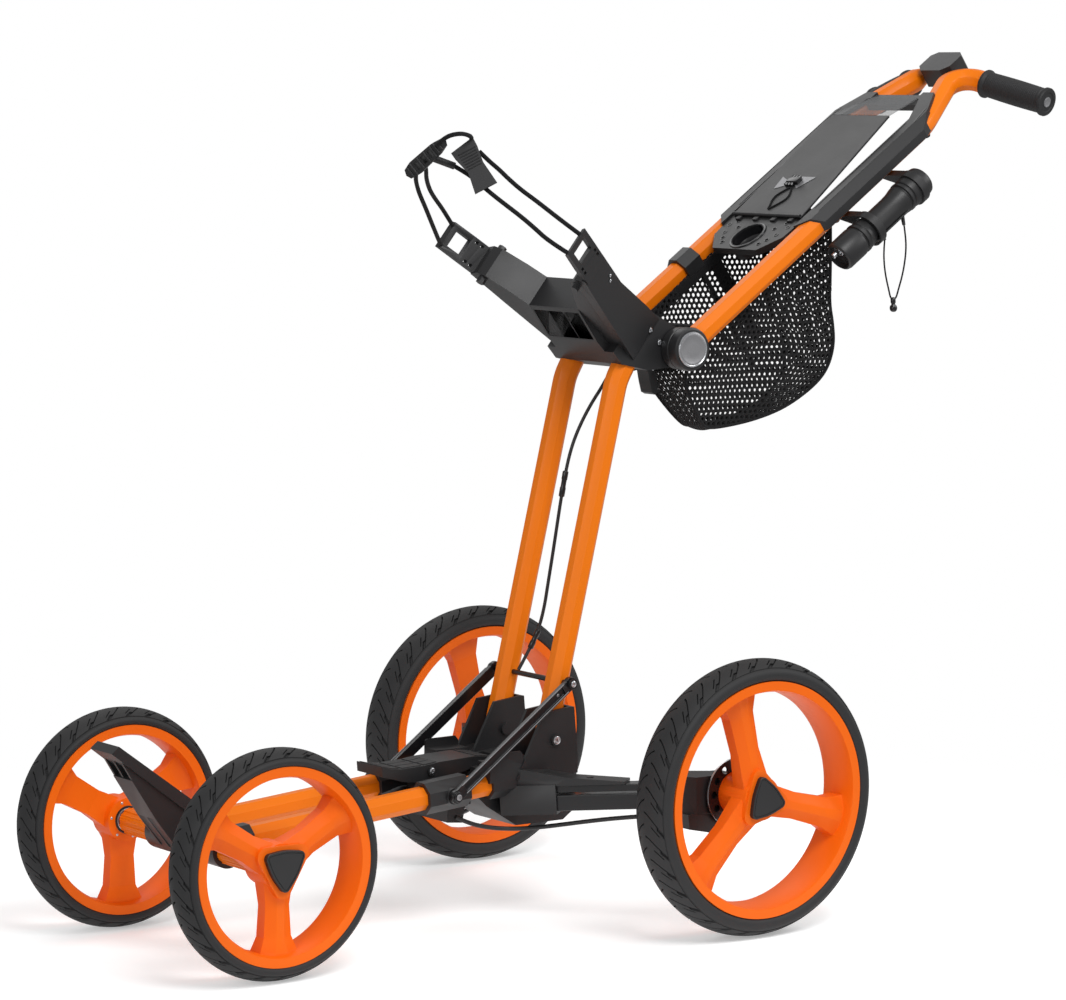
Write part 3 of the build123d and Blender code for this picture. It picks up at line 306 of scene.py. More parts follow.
FINISHES = (
    Finish(Slot.ORANGE_PAINT, (0.79, 0.174, 0.001), 0.42, coat=0.04, specular=0.2, grain_scale=1500, bump=0.04,
           mottle=0.03),
    Finish(Slot.ORANGE_CAST, (0.82, 0.128, 0.001), 0.48, specular=0.22, grain_scale=1800, bump=0.06, mottle=0.03),
    Finish(Slot.BLACK_PLASTIC, (0.013, 0.013, 0.014), 0.44, specular=0.45, grain_scale=2600, bump=0.22, mottle=0.12,
           dust=0.03),
    Finish(Slot.BLACK_METAL, (0.006, 0.006, 0.007), 0.30, coat=0.25, specular=0.4, grain_scale=1600, bump=0.08,
           mottle=0.08),
    Finish(Slot.FOAM_RUBBER, (0.016, 0.016, 0.017), 0.66, specular=0.42, grain_scale=1300, bump=0.30, mottle=0.16,
           dust=0.05),
    Finish(Slot.GRIP_RUBBER, (0.012, 0.012, 0.013), 0.58, specular=0.42, grain_scale=1900, bump=0.30, mottle=0.10,
           dust=0.03),
    Finish(Slot.BLACK_TEXTILE, (0.007, 0.007, 0.008), 0.85, specular=0.25, woven=1400.0, bump=0.4, sheen=0.05),
    Finish(Slot.BARE_STEEL, (0.55, 0.56, 0.58), 0.28, metallic=1.0, grain_scale=2200, bump=0.08, mottle=0.08),
    Finish(Slot.GREY_METAL, (0.27, 0.27, 0.28), 0.45, metallic=0.6, grain_scale=300, grain_depth=1.0,
           bump=0.9, mottle=0.10),
    Finish(Slot.SMOKE_CLEAR, (0.16, 0.165, 0.17), 0.12, coat=0.3, grain_scale=700, bump=0.02, mottle=0.05, alpha=0.42),
)


class Palette:
    """All materials of the trolley, made once."""

    def __init__(self) -> None:
        """Builds the shared groups and each slot's material."""
        groups = {"surface": surface_group(), "weave": weave_group()}
        self.by_slot = {finish.slot: finish.material(groups) for finish in FINISHES}

    def dress_nodes(self) -> None:
        """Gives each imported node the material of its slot."""
        for row in frame["record"]["subparts"]:
            node = frame["nodes"][row["node"]]
            node.data.materials.clear()
            node.data.materials.append(self.by_slot[Slot(row["material_slot"])])


PALETTE = Palette()
NODE_SLOT = {row["node"]: Slot(row["material_slot"]) for row in frame["record"]["subparts"]}
NODE_BODY = {node: body for body, nodes in frame["record"]["behaviour"]["bodies"].items() for node in nodes}


# -------- mesh tools
def put(name: str, data: ID) -> Object:
    """New object in the scene.

    Args:
        name: the object's name.
        data: its data.

    Returns:
        The object.
    """
    made = bpy.data.objects.new(name, data)
    bpy.context.scene.collection.objects.link(made)
    return made


def settle(made: Object, slot: Slot, body: str, replaces: Sequence[str] = ()) -> Object:
    """Gives an object its finish and puts it on its body, in the place of nodes.

    Args:
        made: the object.
        slot: the material slot.
        body: the body it rides on.
        replaces: nodes that it stands for.

    Returns:
        The same object.
    """
    made.data.materials.append(PALETTE.by_slot[slot])
    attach(made, body)
    if replaces:
        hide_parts(*replaces)
    return made


def as_mesh(name: str, bm: BMesh) -> Mesh:
    """Mesh of a bmesh, which is freed.

    Args:
        name: the mesh's name.
        bm: the bmesh.

    Returns:
        The mesh.
    """
    mesh = bpy.data.meshes.new(name)
    bm.to_mesh(mesh)
    bm.free()
    return mesh


def finish_piece(name: str, bm: BMesh, slot: Slot, body: str, sharp: float = 35.0,
                 replaces: Sequence[str] = ()) -> Object:
    """Turns a bmesh into a dressed piece that rides on a body.

    Args:
        name: the piece's name.
        bm: its mesh in the part's frame, in metres.
        slot: the material slot.
        body: the body it rides on.
        sharp: edges bent more than this many degrees stay sharp.
        replaces: nodes that the piece stands for.

    Returns:
        The new object.
    """
    bmesh.ops.recalc_face_normals(bm, faces=bm.faces[:])
    mesh = as_mesh(name, bm)
    mesh.shade_smooth()
    mesh.set_sharp_from_angle(angle=math.radians(sharp))
    LOG.info("%s on %s: %d faces", name, body, len(mesh.polygons))
    return settle(put(name, mesh), slot, body, replaces)


def joined_copy(node: str) -> BMesh:
    """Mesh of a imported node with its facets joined.

    Args:
        node: the node's name.

    Returns:
        The copy, in the part's frame.
    """
    bm = bmesh.new()
    bm.from_mesh(frame["nodes"][node].data)
    bmesh.ops.remove_doubles(bm, verts=bm.verts[:], dist=WELD)
    bmesh.ops.dissolve_limit(bm, angle_limit=FLAT, verts=bm.verts[:], edges=bm.edges[:])
    return bm


def spin(bm: BMesh, points: Iterable[Vector], centre: Vector, axis: Vector, steps: int) -> None:
    """Turns a line of points once round an axis.

    Args:
        bm: the mesh that it grows in.
        points: the line, in metres.
        centre: a point of the axis.
        axis: its direction.
        steps: facets round.
    """
    line = [bm.verts.new(point) for point in points]
    edges = [bm.edges.new(pair) for pair in zip(line, line[1:])]
    bmesh.ops.spin(bm, geom=line + edges, cent=centre, axis=axis, angle=2 * math.pi, steps=steps, use_merge=True,
                   use_duplicate=False)


def soften(node: str, width: float) -> None:
    """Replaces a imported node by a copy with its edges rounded.

    Args:
        node: the node's name.
        width: bevel width in millimetres.
    """
    piece = finish_piece(node + "_skin", joined_copy(node), NODE_SLOT[node], NODE_BODY[node], replaces=[node])
    bevel = piece.modifiers.new("edges", "BEVEL")
    bevel.width = width * MM
    bevel.segments = 2
    bevel.limit_method = "ANGLE"
    bevel.angle_limit = ROUNDED
    bevel.harden_normals = True
    bevel.miter_outer = "MITER_ARC"


class Form:
    """Mesh grown from operators, with its points in the part's frame and its sizes in millimetres."""

    def __init__(self) -> None:
        """Starts empty."""
        self.bm = bmesh.new()

    def lathe(self, centre: Vector, axis: Vector, profile: Sequence[Pair], steps: int = 32) -> None:
        """Turns a profile round an axis.

        Args:
            centre: point of the axis at height 0.
            axis: its direction.
            profile: (height, radius) points.
            steps: facets round.
        """
        axis = axis.normalized()
        side = axis.orthogonal().normalized()
        known = set(self.bm.verts)
        spin(self.bm, [centre + (axis * h + side * r) * MM for h, r in profile], centre, axis, steps)
        bmesh.ops.remove_doubles(self.bm, verts=[v for v in self.bm.verts if v not in known], dist=1e-6)

    def prism(self, outline: Sequence[Vector], push: Vector, edge: float = 0.0, segments: int = 2) -> None:
        """Pushes a closed outline along a vector.

        Args:
            outline: its corners, in metres.
            push: the vector, in metres.
            edge: width of the rounding on all its edges.
            segments: segments of that rounding.
        """
        corners = [self.bm.verts.new(p) for p in outline]
        base = bmesh.ops.contextual_create(self.bm, geom=corners)["faces"]
        grown = bmesh.ops.extrude_face_region(self.bm, geom=base, use_keep_orig=True)["geom"]
        top = [g for g in grown if isinstance(g, BMVert)]
        bmesh.ops.translate(self.bm, verts=top, vec=push)
        if edge:
            sides = {e for v in corners + top for e in v.link_edges}
            bmesh.ops.bevel(self.bm, geom=list(sides), offset=edge * MM, segments=segments, profile=0.5,
                            affect="EDGES", material=-1, clamp_overlap=True)

    def box(self, a: Pair, y: Pair, w: Pair, edge: float = 0.4) -> None:
        """Rounded block between two corners of the upper frame."""
        corners = ((a[0], y[0]), (a[1], y[0]), (a[1], y[1]), (a[0], y[1]))
        self.prism([UPPER.at(*corner, w[0]) for corner in corners], UPPER.out * ((w[1] - w[0]) * MM), edge)

    def bar(self, start: Vector, end: Vector, radius: float, tip: float | None = None, sides: int = 12) -> None:
        """Round bar between two points, tapering to its tip's radius.

        Args:
            start: centre of its first end, in metres.
            end: centre of the other.
            radius: in millimetres.
            tip: radius of the other end, where it differs.
            sides: facets round.
        """
        axis = end - start
        place = Matrix.Translation((start + end) / 2) @ axis.to_track_quat("Z", "Y").to_matrix().to_4x4()
        bmesh.ops.create_cone(self.bm, cap_ends=True, cap_tris=False, segments=sides, radius1=radius * MM,
                              radius2=(radius if tip is None else tip) * MM, depth=axis.length, matrix=place)

    def screw(self, seat: Vector, axis: Vector, radius: float, height: float = 1.6) -> None:
        """Domed screw head with a socket, on its seat."""
        self.lathe(seat, axis, [(0, radius), (height * 0.45, radius), (height * 0.85, radius * 0.8),
                                (height, radius * 0.5), (height * 0.4, radius * 0.42), (height * 0.4, 0)], 20)

    def piece(self, name: str, slot: Slot, body: str, sharp: float = 35.0,
              replaces: Sequence[str] = ()) -> Object:
        """The finished piece."""
        return finish_piece(name, self.bm, slot, body, sharp, replaces)


def strand(points: Sequence[Vector], diameter: float, name: str, slot: Slot, body: str,
           replaces: Sequence[str] = (), resolution: int = 6) -> Object:
    """Round strand along a smooth line, on a body.

    Args:
        points: its control points, in metres.
        diameter: in millimetres.
        name: the piece's name.
        slot: the material slot.
        body: the body it rides on.
        replaces: nodes that the piece stands for.
        resolution: steps between two points.

    Returns:
        The strand's object.
    """
    curve = bpy.data.curves.new(name, "CURVE")
    curve.dimensions = "3D"
    spline = curve.splines.new("NURBS")
    spline.points.add(len(points) - 1)
    for knot, point in zip(spline.points, points):
        knot.co = (*point, 1)
    spline.order_u = 3
    spline.use_endpoint_u = True
    spline.resolution_u = resolution
    curve.bevel_depth = diameter / 2 * MM
    curve.bevel_resolution = 3
    curve.use_fill_caps = True
    return settle(put(name, curve), slot, body, replaces)


def ramp(steps: Sequence[Pair], at: float) -> float:
    """Height at a place of the line through (place, height) points, level beyond its ends.

    Args:
        steps: the points, by rising place.
        at: the place.

    Returns:
        The height there.
    """
    for (x0, h0), (x1, h1) in zip(steps, steps[1:]):
        if at <= x1:
            return h0 + (h1 - h0) * max(0.0, at - x0) / (x1 - x0)
    return steps[-1][1]


def unit(value: float) -> float:
    """Value held between 0 and 1."""
    return min(1.0, max(0.0, value))


# -------- studio
@dataclass
class Studio:
    """Camera at the working view, pale floor and soft lights."""

    lens: float = 131.8
    roll: float = 0.53
    azimuth: float = 143.86
    elevation: float = 5.85
    place: Point = (2.674, 3.509, 0.906)
    sky: float = 0.42
    glow: float = 0.34
    fade: Pair = (0.45, 1.1)

    def camera(self) -> None:
        """Places the camera."""
        az, el, roll = (math.radians(v) for v in (self.azimuth, self.elevation, self.roll))
        back = Vector((math.sin(az) * math.cos(el), -math.cos(az) * math.cos(el), math.sin(el)))
        level = Vector((0, 0, 1)).cross(back).normalized()
        rise = back.cross(level)
        right = level * math.cos(roll) + rise * math.sin(roll)
        up = rise * math.cos(roll) - level * math.sin(roll)
        data = bpy.data.cameras.new("view")
        data.lens, data.sensor_width = self.lens, 36.0
        made = bpy.context.scene.camera = put("view", data)
        place = Vector(self.place) + Vector((AXLE_X, 0, 0))
        made.matrix_world = Matrix([[right[i], up[i], back[i], place[i]] for i in range(3)] + [[0, 0, 0, 1]])

    def light(self, name: str, place: Sequence[float], size: float, watts: float, aim: Sequence[float]) -> None:
        """Adds one soft area light.

        Args:
            name: the light's name.
            place: its place in metres.
            size: its side in metres.
            watts: its power.
            aim: the point that it faces.
        """
        data = bpy.data.lights.new(name, "AREA")
        data.size, data.energy = size, watts
        made = put(name, data)
        made.location = place
        made.rotation_mode = "QUATERNION"
        made.rotation_quaternion = (Vector(place) - Vector(aim)).to_track_quat("Z", "Y")

    def floor(self) -> None:
        """Pale floor that fades out round the trolley, so that it keeps only the contact shadows."""
        bm = bmesh.new()
        bmesh.ops.create_grid(bm, x_segments=1, y_segments=1, size=4.0)
        floor = put("floor", as_mesh("floor", bm))
        floor.location.z = -0.0005
        white = bpy.data.materials.new("floor")
        white.use_nodes = True
        tree = white.node_tree
        shader = tree.nodes["Principled BSDF"]
        fill(shader, {"Base Color": (0.9, 0.9, 0.9, 1), "Roughness": 1.0, "Specular IOR Level": 0.0,
                      "Emission Color": WHITE, "Emission Strength": self.glow})
        place = add_node(tree, "TexCoord").outputs["Object"]
        reach = add_node(tree, "VectorMath", place, operation="LENGTH").outputs["Value"]
        near, far = self.fade
        fade = add_node(tree, "MapRange", Value=reach, From_Min=near, From_Max=far, To_Min=1.0, To_Max=0.0)
        tree.links.new(fade.outputs["Result"], shader.inputs["Alpha"])
        floor.data.materials.append(white)

    def world(self) -> None:
        """White to the camera, a soft grey sky to everything else."""
        made = bpy.data.worlds.new("studio")
        made.use_nodes = True
        tree = made.node_tree
        sky = tree.nodes["Background"]
        ray = add_node(tree, "LightPath").outputs["Is Camera Ray"]
        level = add_node(tree, "MapRange", Value=ray, To_Min=self.sky, To_Max=1.0)
        tree.links.new(level.outputs["Result"], sky.inputs["Strength"])
        sky.inputs["Color"].default_value = WHITE
        bpy.context.scene.world = made

    def build(self) -> None:
        """Camera, floor, world and lights."""
        self.camera()
        self.floor()
        self.world()
        centre = (0.0, 0.0, 0.45)
        self.light("key", (0.6, 2.4, 3.2), 1.6, 78, centre)
        self.light("front", (3.4, 1.6, 1.5), 1.4, 28, centre)
        self.light("back", (-2.2, 1.6, 2.2), 1.2, 30, centre)
        self.light("far", (-0.6, -2.3, 2.75), 1.7, 15, (-0.2, 0, 0.7))
        bpy.context.scene.view_settings.view_transform = "Standard"


# -------- wheels
def arc(first: Vector, middle: Vector, last: Vector, steps: int) -> list[Vector]:
    """Points of the circular arc through three points of a plane.

    Args:
        first: start, which is left out of the result.
        middle: a point on the way.
        last: the end.
        steps: how many points are made.

    Returns:
        The points after the first one.
    """
    ax, ay, bx, by = middle.x - first.x, middle.y - first.y, last.x - first.x, last.y - first.y
    turn = 2 * (ax * by - ay * bx)
    cx = (by * (ax * ax + ay * ay) - ay * (bx * bx + by * by)) / turn
    cy = (ax * (bx * bx + by * by) - bx * (ax * ax + ay * ay)) / turn
    centre = Vector((first.x + cx, first.y + cy))
    begin, end = first - centre, last - centre
    angle = begin.angle_signed(end)
    if (middle - centre).angle_signed(begin) * angle > 0:
        angle -= math.copysign(2 * math.pi, angle)
    return [centre + Matrix.Rotation(-angle * i / steps, 2) @ begin for i in range(1, steps + 1)]


@dataclass
class Tyre:
    """Foam tyre whose crown is cut by curved grooves that meet in the middle."""

    end: str
    side: str
    pitches: int
    columns: int = 12
    depth: float = 2.6
    sweep: float = 1.15
    crown: float = 0.9
    ridge: float = 0.03
    hook: Pair = (0.34, 0.66)
    notch: float = 0.62

    def profile(self) -> list[Vector]:
        """Section points (across, radius) in millimetres, from one bead to the other.

        Returns:
            The points.
        """
        low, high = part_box(f"tyre_{self.end}_{self.side}")
        rim_low, rim_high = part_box(f"rim_{self.end}_{self.side}")
        radius, half = (high.z - low.z) / 2 / MM, (high.y - low.y) / 2 / MM
        rim = (rim_high.z - rim_low.z) / 2 / MM
        shoulder = Vector((half - 4.5, radius - 7))
        points = [Vector((half - 5, rim))]
        points += arc(points[0], Vector((half, (rim + shoulder.y) / 2)), shoulder + Vector((0.6, -1.6)), 7)
        points += [shoulder + Vector((0.1, -1.4)), shoulder + Vector((0.3, -0.4))]
        points += arc(points[-1], Vector((0, radius)), Vector((-points[-1].x, points[-1].y)), 20)
        points += [Vector((-p.x, p.y)) for p in reversed(points[:9])]
        return points

    def shift(self, across: float) -> float:
        """Share of a pitch that a groove runs back at a distance across the crown."""
        return self.sweep * abs(across) ** 1.5

    def build(self) -> None:
        """Builds the tyre."""
        axle = joint_point(f"spin_{self.end}_{self.side}")
        outline = self.profile()
        bm = bmesh.new()
        count = self.pitches * self.columns
        spin(bm, [axle + Vector((0, p.x, p.y)) * MM for p in outline], axle, (0, 1, 0), count)
        half = max(p.x for p in outline)
        crown_r = outline[10].y
        grooves = []
        for face in bm.faces:
            centre = (face.calc_center_median() - axle) / MM
            radius = math.hypot(centre.x, centre.z)
            column = math.floor(math.atan2(centre.x, centre.z) / (2 * math.pi) * count) % self.columns
            across = centre.y / half
            reach = abs(across)
            place = (column - (0 if across > 0 else self.columns // 2)) % self.columns
            main = place == 0 and reach > self.ridge
            hook = place == self.columns // 3 and self.hook[0] < reach < self.hook[1]
            notch = place in (1, 2) and reach > self.notch
            if radius >= crown_r - self.crown and (main or hook or notch):
                grooves.append(face)
        bmesh.ops.inset_region(bm, faces=grooves, thickness=0.2 * MM, depth=-self.depth * MM, use_even_offset=True,
                               use_boundary=True)
        pitch = 2 * math.pi / self.pitches
        for vert in bm.verts:
            offset = vert.co - axle
            turn = pitch * self.shift(offset.y / MM / half)
            vert.co = axle + Matrix.Rotation(turn, 3, "Y") @ offset
        finish_piece(f"tread_{self.end}_{self.side}", bm, Slot.FOAM_RUBBER, f"wheel_{self.end}_{self.side}",
                     sharp=40, replaces=[f"tyre_{self.end}_{self.side}"])


# -------- upper frame
@dataclass
class MeshBasket:
    """Netting bag under the upper tubes: two side panels and a strip round them, with bound seams."""

    pitch: float = 7.2
    hole: float = 2.35
    seam: float = 1.9
    cloth: float = 0.7
    tuck: float = 0.6
    half: float = 61.0
    top: tuple[Pair, ...] = ((42, -3), (273, -3))
    low: tuple[Pair, ...] = (
        (-68, 598), (-90, 564), (-112, 538), (-124, 532), (-170, 537), (-206, 545), (-236, 556), (-268, 577),
        (-284, 597), (-287, 625), (-279, 652), (-269, 676), (-268, 720))

    def outline(self) -> list[Vector]:
        """Side outline (x, z) in millimetres about the rear axle, from front to back."""
        ends = [(UPPER.at(u, 0, w) - Vector((AXLE_X, 0, 0))) / MM for u, w in self.top]
        return [Vector((ends[0].x, ends[0].z)), *[Vector(p) for p in self.low], Vector((ends[1].x, ends[1].z))]

    def spread(self, z: float) -> float:
        """Half width of the bag at a height, in millimetres."""
        return ramp(((525, 17), (545, 24), (588, 37), (640, 51), (690, self.half)), z)

    def hollow(self, z: float) -> float:
        """How far the bag's back edge is drawn in at a height."""
        return ramp(((625, 0.0), (652, 4.3), (676, 11.1), (720, 6.1), (787, 0.0)), z)

    def fold(self, x: float, z: float) -> float:
        """Depth of the soft folds at a place of the side panel.

        Args:
            x: place ahead of the rear axle, in millimetres.
            z: height, in millimetres.

        Returns:
            The depth, in millimetres.
        """
        slant = 0.62 * x + 0.78 * z
        hang = unit((760 - z) / 120) * unit((z - 535) / 60)
        return hang * (3.4 * math.sin(slant / 23.0) * math.sin(x / 41.0 + 1.1) + 1.6 * math.sin(x / 17.0 + z / 29.0))

    def net(self, width: float, height: float) -> BMesh:
        """Flat net with six-sided holes in close packing, from (0, 0) to its width and height.

        Args:
            width: in millimetres.
            height: in millimetres.

        Returns:
            The net in the plane of x and y.
        """
        rise = self.pitch * math.sqrt(3) / 2
        rows = math.ceil(height / rise) + 2
        cols = math.ceil((width + rows * self.pitch / 2) / self.pitch) + 2
        bm = bmesh.new()
        bmesh.ops.create_grid(bm, x_segments=cols, y_segments=rows, size=0.5)
        bmesh.ops.triangulate(bm, faces=bm.faces[:], quad_method="FIXED")
        for vert in bm.verts:
            row, col = round((vert.co.y + 0.5) * rows), round((vert.co.x + 0.5) * cols)
            vert.co = Vector(((col - row / 2) * self.pitch, (row - 1) * rise, 0))
        long = [e for e in bm.edges if e.calc_length() > self.pitch * 1.1]
        if long:
            bmesh.ops.rotate_edges(bm, edges=long, use_ccw=False)
        inner = [v for v in bm.verts if not v.is_boundary]
        known = set(bm.faces)
        made = bmesh.ops.bevel(bm, geom=inner, offset=self.hole, segments=1, profile=0.5, affect="VERTICES",
                               material=-1, clamp_overlap=False)
        holes = [f for f in made["faces"] if f not in known and len(f.verts) >= 5]
        bmesh.ops.delete(bm, geom=holes, context="FACES")
        return bm

    def trim(self, bm: BMesh, start: Vector, end: Vector) -> None:
        """Cuts away what lies to the right of the line from start to end.

        Args:
            bm: the flat net.
            start: a point of the line.
            end: another one.
        """
        line = end - start
        bmesh.ops.bisect_plane(bm, geom=bm.verts[:] + bm.edges[:] + bm.faces[:], dist=1e-5, plane_co=(*start, 0),
                               plane_no=(line.y, -line.x, 0), clear_outer=True)

    def thicken(self, bm: BMesh, name: str) -> Object:
        """Makes a net panel a dressed piece of cloth thickness.

        Args:
            bm: the net.
            name: the piece's name.

        Returns:
            The piece.
        """
        piece = finish_piece(name, bm, Slot.BLACK_TEXTILE, NODE_BODY["basket"], sharp=60)
        solid = piece.modifiers.new("cloth", "SOLIDIFY")
        solid.thickness, solid.offset = self.cloth * MM, 0.0
        return piece

    def panel(self, side: str, sign: int, hull: list[Vector]) -> Object:
        """Side panel inside the bag's outline.

        Args:
            side: left or right.
            sign: the side's sign.
            hull: the bag's outline from the side.

        Returns:
            The piece.
        """
        low = Vector((min(p.x for p in hull), min(p.y for p in hull)))
        high = Vector((max(p.x for p in hull), max(p.y for p in hull)))
        bm = self.net(high.x - low.x, high.y - low.y)
        bmesh.ops.translate(bm, verts=bm.verts[:], vec=(low.x, low.y, 0))
        closed = [p for p in reversed(hull) if not (p.x < -260 and 640 < p.y < 730)]
        for start, end in zip(closed, closed[1:] + closed[:1]):
            self.trim(bm, start, end)
        for vert in bm.verts:
            x, z = vert.co.x, vert.co.y
            x += self.hollow(z) * unit((-220 - x) / 60) ** 2
            y = sign * (self.spread(z) - self.tuck) + self.fold(x, z) * (0.7 if sign > 0 else -0.9)
            y = sign * min(sign * y, self.half)
            vert.co = BASE.at(x, y, z)
        return self.thicken(bm, f"basket_panel_{side}")

    def gusset(self, path: list[Vector]) -> Object:
        """Strip of net down the front, under the bag and up its back.

        Args:
            path: the bag's outline from the side.

        Returns:
            The piece.
        """
        runs = [0.0]
        for start, end in zip(path, path[1:]):
            runs.append(runs[-1] + (end - start).length)
        long, wide = runs[-1], 2 * self.half
        bm = self.net(long, wide)
        for start, end in (((0, 0), (0, -1)), ((long, 0), (long, 1)), ((0, wide), (-1, wide)), ((0, 0), (1, 0))):
            self.trim(bm, Vector(start), Vector(end))
        for vert in bm.verts:
            along = min(max(vert.co.x, 0.0), long)
            step = max(i for i, run in enumerate(runs[:-1]) if run <= along)
            share = (along - runs[step]) / (runs[step + 1] - runs[step])
            spot = path[step].lerp(path[step + 1], share)
            across = vert.co.y / self.half - 1
            sag = 2.5 * (1 - across * across) * math.sin(along / 31.0)
            vert.co = BASE.at(spot.x + sag * 0.5, across * (self.spread(spot.y) - self.tuck), spot.y + sag)
        return self.thicken(bm, "basket_gusset")

    def build(self) -> None:
        """Builds the panels, the seams and the bound rim."""
        path = self.outline()
        made = [self.panel(side, sign, path) for side, sign in SIDES.items()]
        made.append(self.gusset(path))
        body = NODE_BODY["basket"]
        for side, sign in SIDES.items():
            line = [BASE.at(p.x, sign * (self.spread(p.y) - 0.8), p.y) for p in path]
            made.append(strand(line, self.seam * 2, f"basket_seam_{side}", Slot.BLACK_TEXTILE, body, resolution=8))
        rim = Form()
        for sign in SIDES.values():
            rim.box((44, 268), sorted((sign * 58.5, sign * 61.8)), (-17.5, -5), 0.8)
        for u in (266, 46):
            rim.box((u - 2, u + 2), (-60, 60), (-14, -4), 0.8)
        rim.box((150, 156), (-61, -59), (-150, -6), 0.5)
        rim.box((168, 184), (-61.4, -59.4), (-128, -6), 0.5)
        made.append(rim.piece("basket_binding", Slot.BLACK_TEXTILE, body))
        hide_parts("basket")
        anchor = UPPER.at(275, 0, 0)
        for piece in made:
            if piece.type == "CURVE":
                mesh = bpy.data.meshes.new_from_object(piece.evaluated_get(bpy.context.evaluated_depsgraph_get()))
                mesh.name = piece.name
                solid = put(piece.name + "_mesh", mesh)
                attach(solid, body)
                bpy.data.objects.remove(piece)
                piece = solid
            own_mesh(piece)


@dataclass
class Console:
    """Fittings of the console: pocket lip, hinge bead, clip with its elastic leaf, rail lines."""

    panel_low: Pair = (229, 14.6)
    panel_high: Pair = (412, 28.0)

    def on_panel(self, u: float, y: float, lift: float = 0.0) -> Vector:
        """Point of the panel's upper face."""
        (u0, w0), (u1, w1) = self.panel_low, self.panel_high
        return UPPER.at(u, y, w0 + (u - u0) / (u1 - u0) * (w1 - w0) + lift)

    def build(self) -> None:
        """Builds all the fittings."""
        body = NODE_BODY["console_frame"]
        up = UPPER.out
        pocket = Form()
        centre = UPPER.at(194, 0, 11.6)
        pocket.lathe(centre, up, [(-0.5, 20.2), (1.1, 20.2), (1.7, 21.2), (1.3, 23.2), (0, 24), (-0.5, 24)], 44)
        pocket.lathe(centre, up, [(-13.9, 0), (-13.7, 13), (-12.6, 17.2), (-10.5, 19.2), (-0.2, 19.9)], 44)
        bead = Form()
        bead.bar(UPPER.at(230.5, -60, 15.0), UPPER.at(230.5, 60, 15.0), 2.3, sides=16)
        for y in (-47, -16, 16, 47):
            bead.box((222, 232), (y - 4, y + 4), (11, 14.2), 0.5)
        pocket.piece("console_pocket", Slot.BLACK_METAL, body)
        bead.piece("console_bead", Slot.BLACK_PLASTIC, body)
        tees = Form()
        for sign in SIDES.values():
            for u, y in ((180, 33), (188, 40), (209, 33), (220, 44), (198, 47), (213, 53)):
                tees.lathe(UPPER.at(u, sign * y, 11.6), up, [(0.1, 2.3), (0.5, 2.4), (0.5, 3.1), (-0.1, 3.3)], 16)
        tees.piece("console_tee_rims", Slot.BLACK_METAL, body)
        clip = Form()
        for corners in (((276, -31), (298, -34), (286, -7)), ((299, 0), (299, 25), (278, 8), (284, 0))):
            clip.prism([self.on_panel(u, y, 0.05) for u, y in corners], up * (0.5 * MM), 0.2, 1)
        clip.piece("console_window", Slot.GREY_METAL, body)
        knot = Form()
        for shift in (-5, 0, 5):
            knot.bar(self.on_panel(281, -8 + shift, 2.0), self.on_panel(297, -6 + shift, 2.0), 2.6, sides=10)
        knot.box((284, 293), (-13, 6), (18, 24.5), 0.8)
        knot.piece("console_clip", Slot.BLACK_METAL, body)
        leaf = ((279, -3), (268, -14.5), (256, -15), (246, -9), (238.5, -7.6), (245, -2), (255, 7), (265, 9.5),
                (278, 0))
        strand([self.on_panel(u, y, 0.9) for u, y in leaf], 1.7, "console_elastic", Slot.BLACK_TEXTILE, body)
        lines = Form()
        for sign in SIDES.values():
            lines.box((248, 416), sorted((sign * 68.2, sign * 69.2)), (14.2, 15.0), 0.2)
            lines.box((244, 418), sorted((sign * 80.2, sign * 81.0)), (14.0, 14.9), 0.2)
            lines.prism([UPPER.at(418, sign * 80.2, 14.2), UPPER.at(418, sign * 81.2, 14.2),
                         UPPER.at(446, sign * 76.5, 14.2), UPPER.at(446, sign * 75.5, 14.2)], up * (0.7 * MM))
        lines.piece("console_lines", Slot.BLACK_METAL, body)
        screws = Form()
        for sign in SIDES.values():
            for u in (262, 430):
                screws.screw(UPPER.at(u, sign * 75, -12.4), -up, 4.0, 3.0)
        screws.piece("console_screws", Slot.BLACK_METAL, body)


